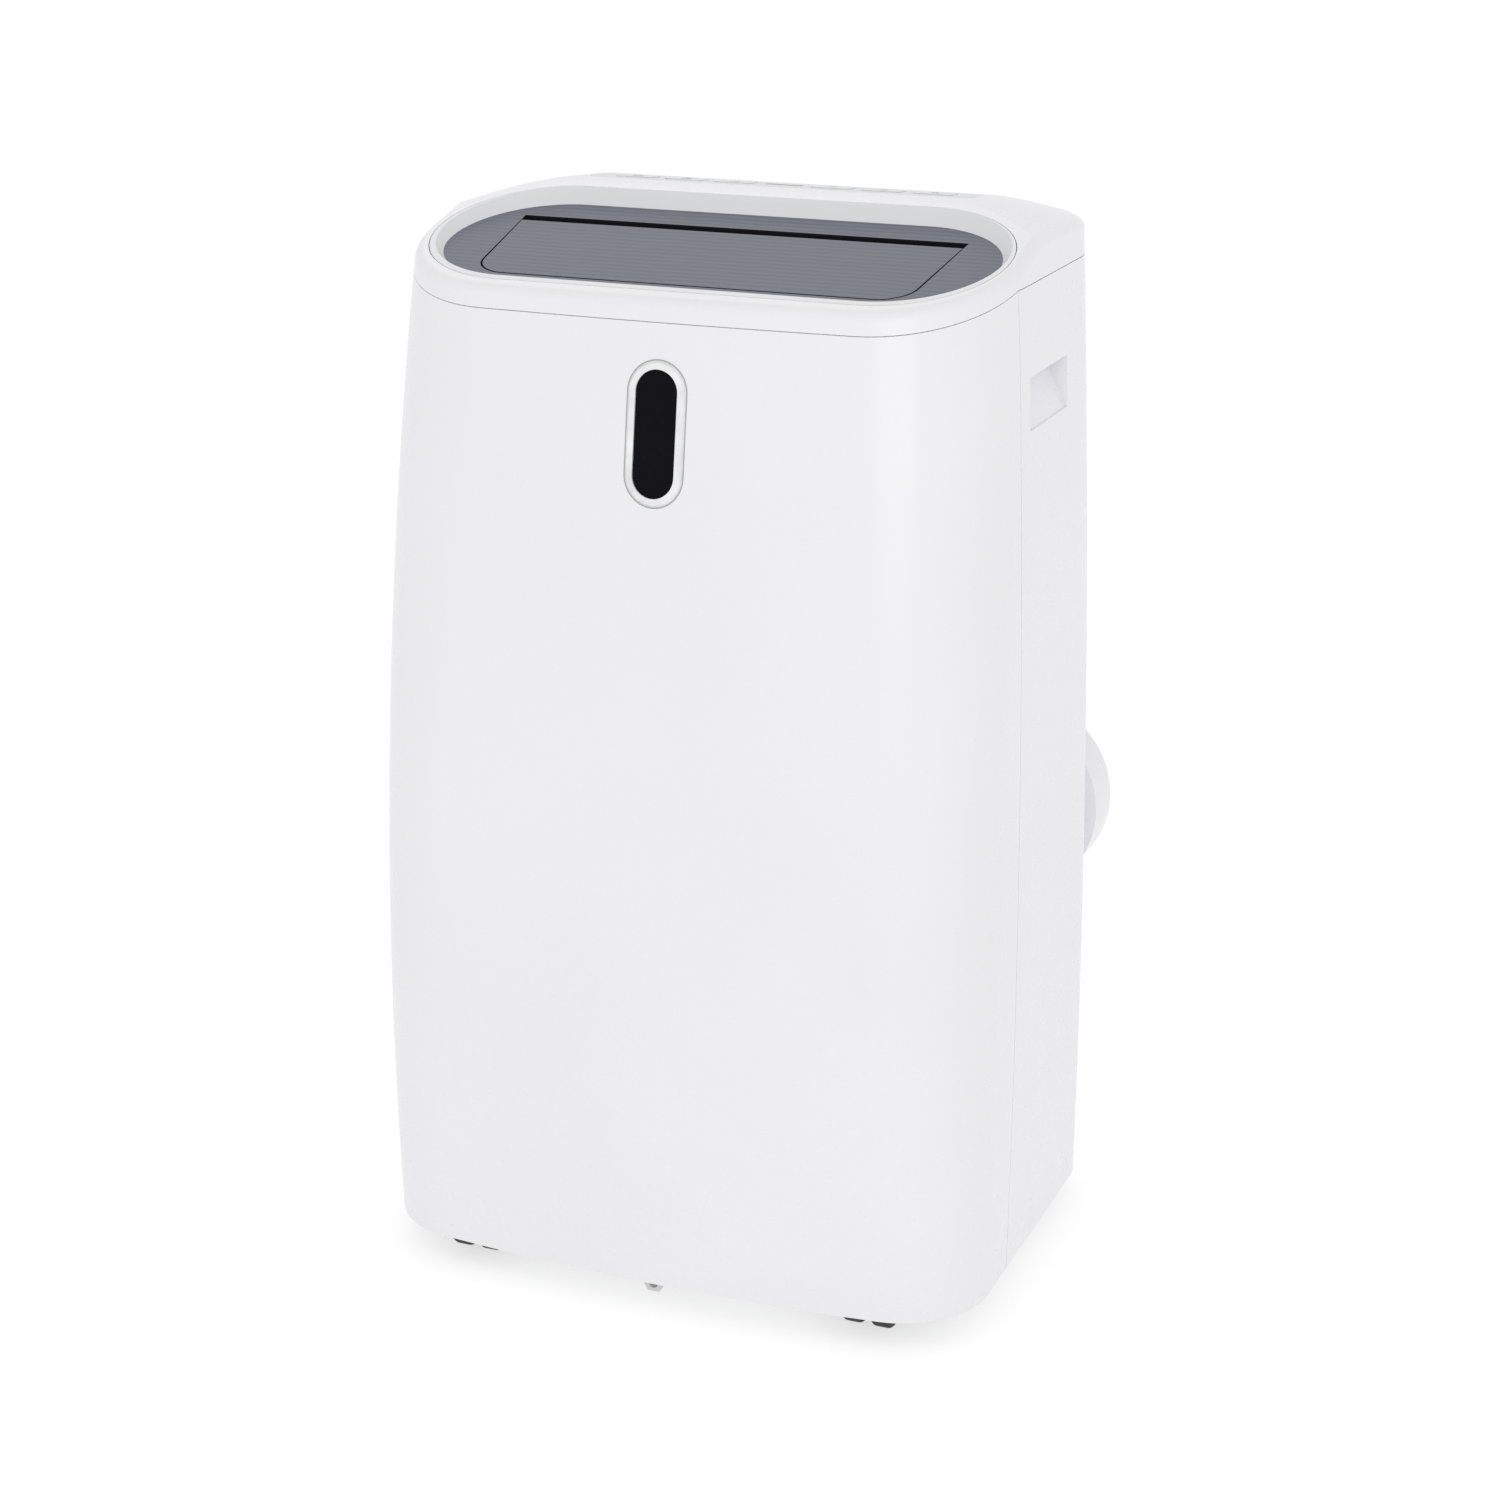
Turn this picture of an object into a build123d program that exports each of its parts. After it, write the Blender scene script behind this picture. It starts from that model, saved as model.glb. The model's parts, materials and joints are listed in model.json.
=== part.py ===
from build123d import *
import math
import os

# Portable air conditioner. Millimetres, +Z up, front towards -Y, casters on the floor at z = 0.

# Overall sizes
HEIGHT = 765.0
WIDTH = 460.0
BODY_DEPTH = 330.0
COLLAR_REACH = 60.0
GROUND_CLEARANCE = 19.5

# Cabinet form
WALL = 2.8
TOP_SKIN = 4.4
SEAM = 0.6
FIT = 0.3
CONTACT = 0.1
BELLY_Z = 199.0
FRONT_RADIUS = 3190.0
SIDE_RADIUS = 11500.0
FRONT_SAG_BOTTOM = 17.0
FRONT_SAG_TOP = 3.0
FRONT_CORNER_BOTTOM = 66.0
FRONT_CORNER_TOP = 90.0
REAR_CORNER_BOTTOM = 45.0
REAR_CORNER_TOP = 68.0
SECTION_COUNT = 6
TOP_SECTION_COUNT = 3
PANEL_WRAP = 122.0
SEAM_FRONT_DROP = 61.0
SEAM_SIDE_DROP = 39.0
TOP_EDGE_RADIUS = 8.0
CREST_BEHIND_DECK = 30.6
REAR_EDGE_DROP = 12.0
REAR_OVERRUN = 1.2
SHOULDER_SIDE_INSET = 112.0
SHOULDER_DROP = 20.0
SHOULDER_RISE = 1.2
SHOULDER_CLEAR = 0.25

# Outlet deck, recess ring and air flap, measured in the tilted plane of the deck
DECK_DROP = 29.6
DECK_BEHIND_FRONT = 135.0
DECK_TILT = 12.2
DECK_SIDE_INSET = 31.0
DECK_HALF_DEPTH = 71.0
DECK_THICK = 3.0
RIM_BAND = 9.0
RIM_FRONT_RISE = 4.2
RIM_REAR_RISE = 10.3
WELL_WALL = 2.5
WELL_LEDGE = 11.0
FLAP_END_INSET = 36.0
FLAP_FRONT = 60.0
FLAP_REAR = 35.4
FLAP_TAPER = 8.5
FLAP_THICK = 3.0
FLAP_CORNER = 24.0
FLAP_SIDE_GAP = 1.5
FLAP_REAR_GAP = 9.2
FLAP_SKIRT = 7.0
FLAP_PIN_INSET = 1.4
FLAP_PIN_DROP = 9.0
FLAP_PIN_RADIUS = 3.0
FLAP_BOSS_RADIUS = 4.8
DECK_SKIRT_WALL = 2.5
DECK_SKIRT_DEPTH = 18.0
RUNNING = 0.05
FLAP_MOTOR_RADIUS = 11.5
FLAP_MOTOR_LENGTH = 14.0
FLAP_MOTOR_DROP = 9.5
FLAP_MOTOR_EAR_HALF = 3.0
FLAP_MOTOR_EAR_REACH = 17.0

# Outlet throat and vertical vanes
THROAT_DEPTH = 44.0
THROAT_WALL = 2.5
THROAT_STEP = 2.5
VANE_COUNT = 5
VANE_PITCH = 56.0
VANE_HEIGHT = 24.0
VANE_THICK = 2.0
VANE_PIN_RADIUS = 2.0
VANE_END_GAP = 2.0
VANE_PIVOT_DROP = 20.0
TIE_PIN_DROP = 8.0
TIE_PIN_RADIUS = 1.5
TIE_NOTCH_LENGTH = 16.0
TIE_NOTCH_RISE = 5.0
TIE_THICK = 4.0
TIE_HEIGHT = 6.0
TIE_SIDE_GAP = 2.0

# Display on the front panel
DISPLAY_BELOW_TOP = 133.0
BEZEL_HEIGHT = 95.6
BEZEL_WIDTH = 40.4
BEZEL_BAND = 5.2
BEZEL_PROUD = 1.6
BEZEL_DEPTH = 6.0
BEZEL_LIP = 2.2
BEZEL_TAPER = 35.0
LENS_THICK = 3.2
LENS_SINK = 0.4
BOARD_THICK = 1.6

# Control strip on the rear of the top cover
CONTROL_LENGTH = 290.0
CONTROL_WIDTH = 34.0
CONTROL_BEHIND_DECK = 54.0
CONTROL_CORNER = 6.0
CONTROL_PLATE = 2.4
CONTROL_LEDGE = 6.0
BUTTON_LENGTH = 30.0
BUTTON_WIDTH = 15.0
BUTTON_CORNER = 4.0
BUTTON_PITCH = 38.0
BUTTON_GROUP = 3
BUTTON_PROUD = 0.5
BUTTON_TRAVEL = 1.0
BUTTON_FLANGE = 1.5
WINDOW_LENGTH = 28.0
WINDOW_WIDTH = 8.0
CONTROL_BOARD_DROP = 12.0

# Grip pockets in the sides
GRIP_FRONT = 143.0
GRIP_LENGTH = 85.0
GRIP_BELOW_TOP = 100.0
GRIP_HEIGHT = 36.0
GRIP_DEPTH = 16.0
GRIP_WALL = 2.5

# Base pan, casters and catches
PAN_RISE = 3.0
PAN_FLOOR = 3.0
PAN_HEIGHT = 40.0
CASTER_SIDE_INSET = 76.0
CASTER_FRONT_INSET = 59.0
CASTER_REAR_INSET = 78.0
WHEEL_RADIUS = 20.0
WHEEL_WIDTH = 14.0
WHEEL_EDGE = 3.0
FORK_WEB = 7.0
FORK_GAP = 0.9
FORK_THICK = 2.5
FORK_TRAIL = 12.0
FORK_PLATE = 2.5
FORK_PLATE_RADIUS = 14.0
AXLE_RADIUS = 3.0
STEM_RADIUS = 5.0
STEM_LENGTH = 18.0
CASTER_SWEEP = 41.0
CATCH_WIDTH = 22.0
CATCH_DROP = 12.0
CATCH_TIP = 8.8
CATCH_THICK = 5.5
CATCH_SLOT = 7.0
SIDE_CATCH_FRONT = 109.0

# Mid tray and the two air circuits
UPPER_ROOM = 393.0
TRAY_FLOOR = 3.0
TRAY_RIM = 18.0
TRAY_INSET = 1.5
SCROLL_WALL = 2.5
TONGUE_ANGLE = 75.0
SPIRAL_ARCS = 4
FAN_BLADES = 30
FAN_BLADE_LENGTH = 14.0
FAN_BLADE_THICK = 1.6
FAN_BLADE_ANGLE = 30.0
FAN_PLATE = 2.5
FAN_RING_WIDTH = 8.0
FAN_END_GAP = 6.0
FAN_HUB_RADIUS = 12.0
FAN_HUB_LENGTH = 26.0
SHAFT_RADIUS = 4.0
EVAP_FAN_RADIUS = 96.0
EVAP_VOLUTE_START = 106.0
EVAP_VOLUTE_END = 138.0
EVAP_SIDE_INSET = 142.0
EVAP_ABOVE_TRAY = 138.0
EVAP_FLARE = 92.0
EVAP_MOTOR_RADIUS = 45.0
EVAP_MOTOR_LENGTH = 38.0
EVAP_FOOT_SPREAD = 45.0
COND_FAN_RADIUS = 78.0
COND_VOLUTE_START = 86.0
COND_VOLUTE_END = 112.0
COND_X = -70.0
COND_ABOVE_PAN = 132.5
COND_FRONT = -35.0
COND_DEPTH = 90.0
COND_NECK = 128.0
COND_MOTOR_RADIUS = 42.0
COND_MOTOR_LENGTH = 34.0
COND_FOOT_SPREAD = 34.0
COND_FOOT_DEPTH = 40.0
COND_SHOULDER = 115.2
MOTOR_END_STEP = 9.0
MOTOR_FLANGE = 4.5

# Coils
COIL_DEPTH = 30.0
COIL_BEHIND_GAP = 24.0
COIL_PLATE = 1.5
COIL_PLATE_MARGIN = 3.0
COIL_ROWS = 5
COIL_TUBE = 4.0
EVAP_COIL_SIDE_INSET = 82.0
EVAP_COIL_HEIGHT = 300.0
COND_COIL_SIDE_INSET = 44.0
COND_COIL_RIGHT = 48.0
COND_COIL_UNDER_TRAY = 32.8

# Rear windows: upper filter frame and lower grille
FRAME_DEPTH = 10.0
FRAME_BAND = 10.0
FRAME_LEDGE = 5.0
FRAME_GAP = 0.4
WINDOW_WALL = 2.5
SLAT_PITCH = 13.0
SLAT_THICK = 3.0
SLAT_DEPTH = 7.0
UPPER_WINDOW_SIDE_INSET = 82.0
UPPER_WINDOW_ABOVE_TRAY = 40.0
UPPER_WINDOW_HEIGHT = 280.0
LOWER_WINDOW_SIDE_INSET = 60.0
LOWER_WINDOW_RIGHT = 46.0
LOWER_WINDOW_Z = 74.0
LOWER_WINDOW_UNDER_TRAY = 36.0
MESH_THICK = 1.2
MESH_COLUMNS = 10
MESH_ROWS = 8
MESH_RIB = 2.0
PULL_LENGTH = 70.0
PULL_HEIGHT = 14.0

# Exhaust frame, collar and duct
EXHAUST_SIDE_INSET = 84.0
EXHAUST_UNDER_TRAY = 70.0
EXHAUST_FRAME_WIDTH = 122.0
EXHAUST_FRAME_HEIGHT = 164.0
EXHAUST_FRAME_REACH = 20.0
EXHAUST_CORNER = 16.0
EXHAUST_BAND = 10.0
EXHAUST_WRAP = 45.0
COLLAR_DROP = 11.0
COLLAR_RADIUS = 74.0
COLLAR_WALL = 3.0
COLLAR_FLANGE = 4.0
COLLAR_EDGE = 1.0
DUCT_LEFT = 60.0
DUCT_SIDE_INSET = 18.0
DUCT_ABOVE_FAN_AXIS = 8.0
DUCT_WALL = 2.5

# Compressor, pipes and electrics
COMPRESSOR_SIDE_INSET = 140.0
COMPRESSOR_Y = -95.0
COMPRESSOR_RADIUS = 56.0
COMPRESSOR_HEIGHT = 190.0
COMPRESSOR_DOME = 18.0
COMPRESSOR_FOOT_PCD = 65.0
COMPRESSOR_FOOT_RADIUS = 14.0
COMPRESSOR_FOOT_PLATE = 4.0
COMPRESSOR_FOOT_ANGLES = (30, 150, 270)
GROMMET_HEIGHT = 24.0
GROMMET_RADIUS = 11.0
STUD_RADIUS = 4.0
NUT_HEIGHT = 6.0
NUT_RADIUS = 7.6
ACCUMULATOR_RADIUS = 24.0
ACCUMULATOR_HEIGHT = 120.0
ACCUMULATOR_GAP = 4.0
PIPE_RADIUS = 4.0
PIPE_BEND = 16.0
PIPE_SIDE_REACH = 19.2
PIPE_UNDER_TRAY = 20.0
SUCTION_SIDE_INSET = 30.0
SUCTION_Y = -60.0
CONTROL_BOX_SIDE_INSET = 50.0
CONTROL_BOX_WIDTH = 70.0
CONTROL_BOX_FRONT = -95.0
CONTROL_BOX_REAR = 30.0
CONTROL_BOX_HEIGHT = 175.0
CONTROL_BOX_LID = 12.0

# Small rear fittings
SPOUT_RADIUS = 9.0
SPOUT_BORE = 6.0
SPOUT_REACH = 4.0
PLUG_HEAD = 11.0
PLUG_HEAD_LENGTH = 5.0
PLUG_STEM_LENGTH = 10.0
PAN_SPOUT_X = 100.0
TRAY_SPOUT_X = -100.0
SPOUT_ABOVE_FLOOR = 11.0
CORD_SIDE_INSET = 65.0
CORD_Z = 120.0
CORD_BORE = 3.8
CORD_BUSH = 6.0
CORD_FLANGE = 10.0
CORD_FLANGE_LENGTH = 4.0
SCREW_HEAD = 4.0
SCREW_HEAD_LENGTH = 2.2
SCREW_SHANK = 1.8
SCREW_LENGTH = 10.0
SCREW_SIDE_INSET = 90.0
SCREW_LOW_Z = 66.5
SCREW_ABOVE_TRAY = 26.0
SCREW_BELOW_TOP = 59.0

# Derived places
FRONT_Y = -(BODY_DEPTH + COLLAR_REACH) / 2
REAR_Y = FRONT_Y + BODY_DEPTH
REAR_INNER = REAR_Y - WALL
SPLIT_Y = FRONT_Y + PANEL_WRAP
DECK_Y = FRONT_Y + DECK_BEHIND_FRONT
DECK_Z = HEIGHT - DECK_DROP
DECK_HALF_LENGTH = WIDTH / 2 - DECK_SIDE_INSET
FLAP_HALF_LENGTH = DECK_HALF_LENGTH - FLAP_END_INSET
PAN_Z = GROUND_CLEARANCE + PAN_RISE
PAN_TOP = PAN_Z + PAN_FLOOR
TRAY_Z = HEIGHT - UPPER_ROOM
TRAY_TOP = TRAY_Z + TRAY_FLOOR
CASTER_X = WIDTH / 2 - CASTER_SIDE_INSET
EVAP_X = EVAP_SIDE_INSET - WIDTH / 2
COND_Z = PAN_TOP + COND_ABOVE_PAN
EVAP_COIL_HALF = WIDTH / 2 - EVAP_COIL_SIDE_INSET
COND_COIL_LEFT = COND_COIL_SIDE_INSET - WIDTH / 2
EXHAUST_X = WIDTH / 2 - EXHAUST_SIDE_INSET
EXHAUST_FRAME_Z = TRAY_Z - EXHAUST_UNDER_TRAY
COLLAR_Z = EXHAUST_FRAME_Z - COLLAR_DROP
DUCT_RIGHT = WIDTH / 2 - DUCT_SIDE_INSET
DUCT_LOW = COND_Z + DUCT_ABOVE_FAN_AXIS
COMPRESSOR_X = WIDTH / 2 - COMPRESSOR_SIDE_INSET
SUCTION_X = WIDTH / 2 - SUCTION_SIDE_INSET
CORD_X = WIDTH / 2 - CORD_SIDE_INSET
PAN_SPOUT = (PAN_SPOUT_X, PAN_TOP + SPOUT_ABOVE_FLOOR)
TRAY_SPOUT = (TRAY_SPOUT_X, TRAY_TOP + SPOUT_ABOVE_FLOOR)
FLAP_PIN_Y = FLAP_REAR - FLAP_PIN_INSET
DECK_SKIRT_FACE = FLAP_HALF_LENGTH + FLAP_SIDE_GAP + DECK_SKIRT_WALL
FLANK_ANGLE = math.degrees(math.atan((RIM_BAND - SEAM) / RIM_REAR_RISE))
TILT = math.radians(DECK_TILT)
CREST_Y = DECK_Y + DECK_HALF_DEPTH * math.cos(TILT) + CREST_BEHIND_DECK
DECK = Plane(
    origin=(0, DECK_Y, DECK_Z),
    x_dir=(1, 0, 0),
    z_dir=(0, -math.sin(TILT), math.cos(TILT)),
)
REACH = WIDTH + HEIGHT
STANDING = (Align.CENTER, Align.CENTER, Align.MIN)
TOUCHING = 0.01
UPWARD = 0.8


# General shapes

def box_between(low, high):
    """A box from its lowest to its highest corner."""
    size = [b - a for a, b in zip(low, high)]
    return Pos(*low) * Box(*size, align=(Align.MIN, Align.MIN, Align.MIN))


def rod_x(radius, x0, x1, y, z):
    """A round bar along X."""
    return Pos(x0, y, z) * Rot(0, 90, 0) * Cylinder(radius, x1 - x0, align=STANDING)


def rod_y(radius, y0, y1, x, z):
    """A round bar along Y."""
    return Pos(x, y0, z) * Rot(-90, 0, 0) * Cylinder(radius, y1 - y0, align=STANDING)


def rod_z(radius, z0, z1, x, y):
    """A round bar along Z."""
    return Pos(x, y, z0) * Cylinder(radius, z1 - z0, align=STANDING)


def prism_y(face, y0, y1):
    """Extrude a face drawn in X and Z from y0 back to y1."""
    plane = Plane(origin=(0, y1, 0), x_dir=(1, 0, 0), z_dir=(0, -1, 0))
    return extrude(plane * face, amount=y1 - y0, dir=(0, -1, 0))


def prism_x(points, half):
    """Extrude an outline of Y and Z points both ways along X."""
    return extrude(Plane.YZ * make_face(Polyline(*points, close=True)), amount=half, both=True)


# Cabinet form

def front_y(z):
    """The front profile is one large arc, foremost at the belly."""
    return FRONT_Y + FRONT_RADIUS - math.sqrt(FRONT_RADIUS**2 - (z - BELLY_Z)**2)


def half_width(z):
    """The sides bow a little, widest at the belly."""
    return WIDTH / 2 - SIDE_RADIUS + math.sqrt(SIDE_RADIUS**2 - (z - BELLY_Z)**2)


def between(bottom, top, z):
    """A value that changes evenly from the bottom edge to the top."""
    share = (z - GROUND_CLEARANCE) / (HEIGHT - GROUND_CLEARANCE)
    return bottom + (top - bottom) * share


def outline(z, inset=0.0):
    """Plan section of the cabinet: bowed front, straight sides and rear, round corners."""
    half = half_width(z) - inset
    front = front_y(z) + inset
    rear = REAR_Y - inset
    side_front = front + between(FRONT_SAG_BOTTOM, FRONT_SAG_TOP, z)
    bow = ThreePointArc((-half, side_front), (0, front), (half, side_front))
    sides = Polyline((half, side_front), (half, rear), (-half, rear), (-half, side_front))
    face = make_face(Curve() + [bow, sides])
    front_corners = face.vertices().sort_by(Axis.Y)[:2]
    face = fillet(front_corners, between(FRONT_CORNER_BOTTOM, FRONT_CORNER_TOP, z) - inset)
    rear_corners = face.vertices().sort_by(Axis.Y)[-2:]
    return Pos(0, 0, z) * fillet(rear_corners, between(REAR_CORNER_BOTTOM, REAR_CORNER_TOP, z) - inset)


def cabinet(inset, low, high, count):
    """The cabinet's outer form between two heights, or the same form drawn in by a wall."""
    step = (high - low) / (count - 1)
    return loft([outline(low + step * i, inset) for i in range(count)])


def above_seam(lift):
    """Everything above the seam under the top cover: sloped at the front, level behind."""
    front_z = HEIGHT - SEAM_FRONT_DROP
    side_z = HEIGHT - SEAM_SIDE_DROP
    slope = (side_z - front_z) / (SPLIT_Y - front_y(front_z))
    lead = side_z - slope * (SPLIT_Y + REACH)
    points = [
        (-REACH, lead + lift),
        (SPLIT_Y, side_z + lift),
        (REACH, side_z + lift),
        (REACH, HEIGHT + REACH),
        (-REACH, HEIGHT + REACH),
    ]
    return prism_x(points, WIDTH)


def arc_radius(run, drop):
    """Radius of an arc that starts level and falls by a drop over a run."""
    return (run**2 + drop**2) / (2 * drop)


def falling_arc(across, height, run, drop):
    """Start, middle and end of an arc that starts level and falls, carried on a little past its run."""
    radius = arc_radius(run, drop)
    end = math.asin(run / radius) * REAR_OVERRUN
    return [(across + radius * math.sin(a), height - radius * (1 - math.cos(a))) for a in (0, end / 2, end)]


def under_shoulders(lift):
    """Everything below the shoulders: level across the middle, falling to the sides and to the rear edge."""
    ridge_z = HEIGHT + SHOULDER_RISE
    right = falling_arc(WIDTH / 2 - SHOULDER_SIDE_INSET, ridge_z, SHOULDER_SIDE_INSET, SHOULDER_DROP)
    left = [(-x, z) for x, z in reversed(right)]
    floor_z = HEIGHT - WIDTH / 2
    edges = [
        Line(left[2], right[0]),
        ThreePointArc(*right),
        Polyline(right[2], (right[2][0], floor_z), (left[0][0], floor_z), left[0]),
        ThreePointArc(*left),
    ]
    face = Pos(0, CREST_Y, lift) * (Plane.XZ * make_face(Curve() + edges))
    run = REAR_Y - CREST_Y
    radius = arc_radius(run, REAR_EDGE_DROP)
    axis = Axis((0, CREST_Y, ridge_z + lift - radius), (-1, 0, 0))
    rear = revolve(face, axis, math.degrees(math.asin(run / radius)) * REAR_OVERRUN)
    return extrude(face, amount=WIDTH, dir=(0, -1, 0)) + rear


def under_top(lift):
    """Everything below the top surface: the tilted rim, the crest and the fall to the rear edge."""
    rim_front_y = DECK_Y - DECK_HALF_DEPTH * math.cos(TILT)
    rim_front_z = DECK_Z - DECK_HALF_DEPTH * math.sin(TILT) + RIM_FRONT_RISE
    run = 2 * DECK_HALF_DEPTH * math.cos(TILT)
    slope = math.tan(TILT) + (RIM_REAR_RISE - RIM_FRONT_RISE) / run
    angle = math.atan(slope)
    over = rim_front_z + slope * (CREST_Y - rim_front_y) - HEIGHT
    crest_radius = over * math.cos(angle) / (1 - math.cos(angle))
    start = (CREST_Y - crest_radius * math.sin(angle), HEIGHT - crest_radius * (1 - math.cos(angle)))
    middle = (
        CREST_Y - crest_radius * math.sin(angle / 2),
        HEIGHT - crest_radius * (1 - math.cos(angle / 2)),
    )
    fall = falling_arc(CREST_Y, HEIGHT, REAR_Y - CREST_Y, REAR_EDGE_DROP)
    lead = (rim_front_y - WIDTH, rim_front_z - slope * WIDTH)
    floor_z = HEIGHT - REACH
    edges = [
        Line(lead, start),
        ThreePointArc(start, middle, (CREST_Y, HEIGHT)),
        ThreePointArc(*fall),
        Polyline(fall[2], (fall[2][0], floor_z), (lead[0], floor_z), lead),
    ]
    return Pos(0, 0, lift) * extrude(Plane.YZ * make_face(Curve() + edges), amount=WIDTH, both=True)


def top_skin(high, low):
    """A layer that follows the top surface, from high above it to low below it."""
    return under_top(high) - under_top(-low)


INNER = cabinet(WALL, GROUND_CLEARANCE, HEIGHT, SECTION_COUNT)
SHELL = cabinet(0, GROUND_CLEARANCE, HEIGHT, SECTION_COUNT) - INNER


# Deck plane shapes

def on_deck(shape):
    """Place a shape drawn about the deck's centre: X along, Y up the slope, Z off the deck."""
    return DECK.location * shape


def deck_oval(grow):
    """The deck's oval, grown all round."""
    return SlotOverall(2 * (DECK_HALF_LENGTH + grow), 2 * (DECK_HALF_DEPTH + grow))


def deck_layer(grow, low, high):
    """An oval slab between two heights off the deck."""
    return on_deck(extrude(Pos(0, 0, low) * deck_oval(grow), amount=high - low))


def flap_face(side, front, rear, corner, taper):
    """The flap's outline, narrower at its round front corners by a taper, with gaps all round."""
    half = FLAP_HALF_LENGTH + side
    low = -FLAP_FRONT - front
    high = FLAP_REAR + rear
    face = make_face(
        Polyline((taper - half, low), (half - taper, low), (half, high), (-half, high), close=True)
    )
    return fillet(face.vertices().sort_by(Axis.Y)[:2], corner)


def deck_opening(grow, low, high, taper):
    """The opening that the flap closes, grown all round, between two heights off the deck."""
    gap = FLAP_SIDE_GAP + grow
    face = flap_face(gap, gap, FLAP_REAR_GAP + grow, FLAP_CORNER + gap, taper)
    return on_deck(extrude(Pos(0, 0, low) * face, amount=high - low))


# Cabinet panels

def make_front_panel():
    """Front panel, wrapped round both front corners, with the hole for the display bezel."""
    front = box_between((-REACH, -REACH, 0), (REACH, SPLIT_Y - SEAM / 2, HEIGHT))
    hole = display_pill(BEZEL_LIP - FIT, -WALL * 4, WALL * 4)
    return (SHELL & front) - above_seam(-SEAM / 2) - hole


def make_rear_housing():
    """Rear housing: both sides and the rear wall, with grips, windows and fitting holes."""
    back = box_between((-REACH, SPLIT_Y + SEAM / 2, 0), (REACH, REACH, HEIGHT))
    housing = (SHELL & back) - above_seam(-SEAM / 2)
    housing += window_box(*UPPER_WINDOW)
    housing += window_box(*LOWER_WINDOW)
    for side in (-1, 1):
        housing += grip_wedge(side, GRIP_WALL) & INNER
    for side in (-1, 1):
        housing -= grip_wedge(side, 0)
    for window in (UPPER_WINDOW, LOWER_WINDOW):
        housing -= window_cut(*window)
    housing -= exhaust_hole()
    for spout in (PAN_SPOUT, TRAY_SPOUT):
        housing -= rear_hole(SPOUT_RADIUS + FIT, *spout)
    housing -= rear_hole(CORD_BUSH + FIT, CORD_X, CORD_Z)
    for x, z in screw_places():
        housing -= rear_hole(SCREW_SHANK + FIT, x, z)
    return housing


def rear_hole(radius, x, z):
    """A round hole through the rear wall."""
    return rod_y(radius, REAR_INNER - WALL, REAR_Y + WALL, x, z)


def grip_wedge(side, grow):
    """Grip pocket: deep under its top edge, sloping out to nothing at the bottom."""
    z_top = HEIGHT - GRIP_BELOW_TOP
    z_low = z_top - GRIP_HEIGHT
    face_x = half_width(z_top)
    outside = face_x + 3 * GRIP_WALL
    y0 = FRONT_Y + GRIP_FRONT
    points = [
        (outside, z_low - grow),
        (outside, z_top + grow),
        (face_x - GRIP_DEPTH - grow, z_top + grow),
        (face_x - grow, z_low - grow),
    ]
    face = make_face(Polyline(*[(side * x, z) for x, z in points], close=True))
    return prism_y(face, y0 - grow, y0 + GRIP_LENGTH + grow)


def make_top_cover():
    """Top cover: a skirted shell with the deck's well, its ledge and the control pocket."""
    rise = SEAM_FRONT_DROP + DECK_DROP
    low, high = HEIGHT - rise, HEIGHT + rise
    body = soft_top((cabinet(0, low, high, TOP_SECTION_COUNT) & under_top(0)) & above_seam(SEAM / 2))
    body &= soft_top(cabinet(-SHOULDER_CLEAR, low, high, TOP_SECTION_COUNT) & under_shoulders(0))
    inside = cabinet(WALL, low, high, TOP_SECTION_COUNT) & under_top(-TOP_SKIN)
    cover = body - (inside & under_shoulders(-TOP_SKIN))
    well_low = -DECK_THICK - WELL_WALL
    well = deck_layer(RIM_BAND + SEAM + WELL_WALL, well_low, HEIGHT - TRAY_Z) & body
    cover += well
    cover -= deck_layer(RIM_BAND + SEAM, -DECK_THICK, REACH)
    cover -= deck_layer(RIM_BAND - WELL_LEDGE, well_low - WELL_WALL, REACH)
    cover -= control_prism(SEAM / 2) & top_skin(WALL, CONTROL_PLATE)
    cover -= control_prism(-CONTROL_LEDGE)
    return cover


def soft_top(body):
    """A body with the edge round its top surface made soft."""
    return fillet(body.edges().filter_by(lambda e: on_top_rim(body, e)), TOP_EDGE_RADIUS)


def on_top_rim(body, edge):
    """True for an edge round the top surface, where it meets the cabinet's sides."""
    middle = edge @ 0.5
    faces = [face for face in body.faces() if face.distance_to(middle) < TOUCHING]
    return sum(face.normal_at(middle).Z > UPWARD for face in faces) == 1


def make_recess_ring():
    """Ring round the sunken deck: a sloping inner flank, flush with the rim on top."""
    ring = deck_layer(RIM_BAND, 0, RIM_REAR_RISE * 3) & under_top(0)
    rise = RIM_REAR_RISE * 3
    flank = on_deck(extrude(deck_oval(0), amount=rise, taper=-FLANK_ANGLE))
    return ring - flank


def flap_pin(radius, x0, x1):
    """A round bar on the flap's hinge axis, in the deck's own places."""
    return rod_x(radius, x0, x1, FLAP_PIN_Y, -FLAP_PIN_DROP)


def make_outlet_deck():
    """Dark oval deck with the flap's opening, and a skirt below that carries the flap's pins."""
    deck = deck_layer(RIM_BAND, -DECK_THICK, 0)
    deck += deck_opening(DECK_SKIRT_WALL, -DECK_SKIRT_DEPTH, -DECK_THICK, 0)
    deck -= deck_opening(0, -DECK_SKIRT_DEPTH, -DECK_THICK, 0)
    deck -= deck_opening(0, -DECK_THICK, 0, FLAP_TAPER)
    return deck - on_deck(flap_pin(FLAP_PIN_RADIUS + RUNNING, -DECK_SKIRT_FACE, DECK_SKIRT_FACE))


def flap_slab(inset, corner, depth):
    """A slab under the flap's top face, drawn in all round."""
    face = flap_face(-inset, -inset, -inset, corner, FLAP_TAPER)
    return extrude(Pos(0, 0, -depth) * face, amount=depth)


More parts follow.
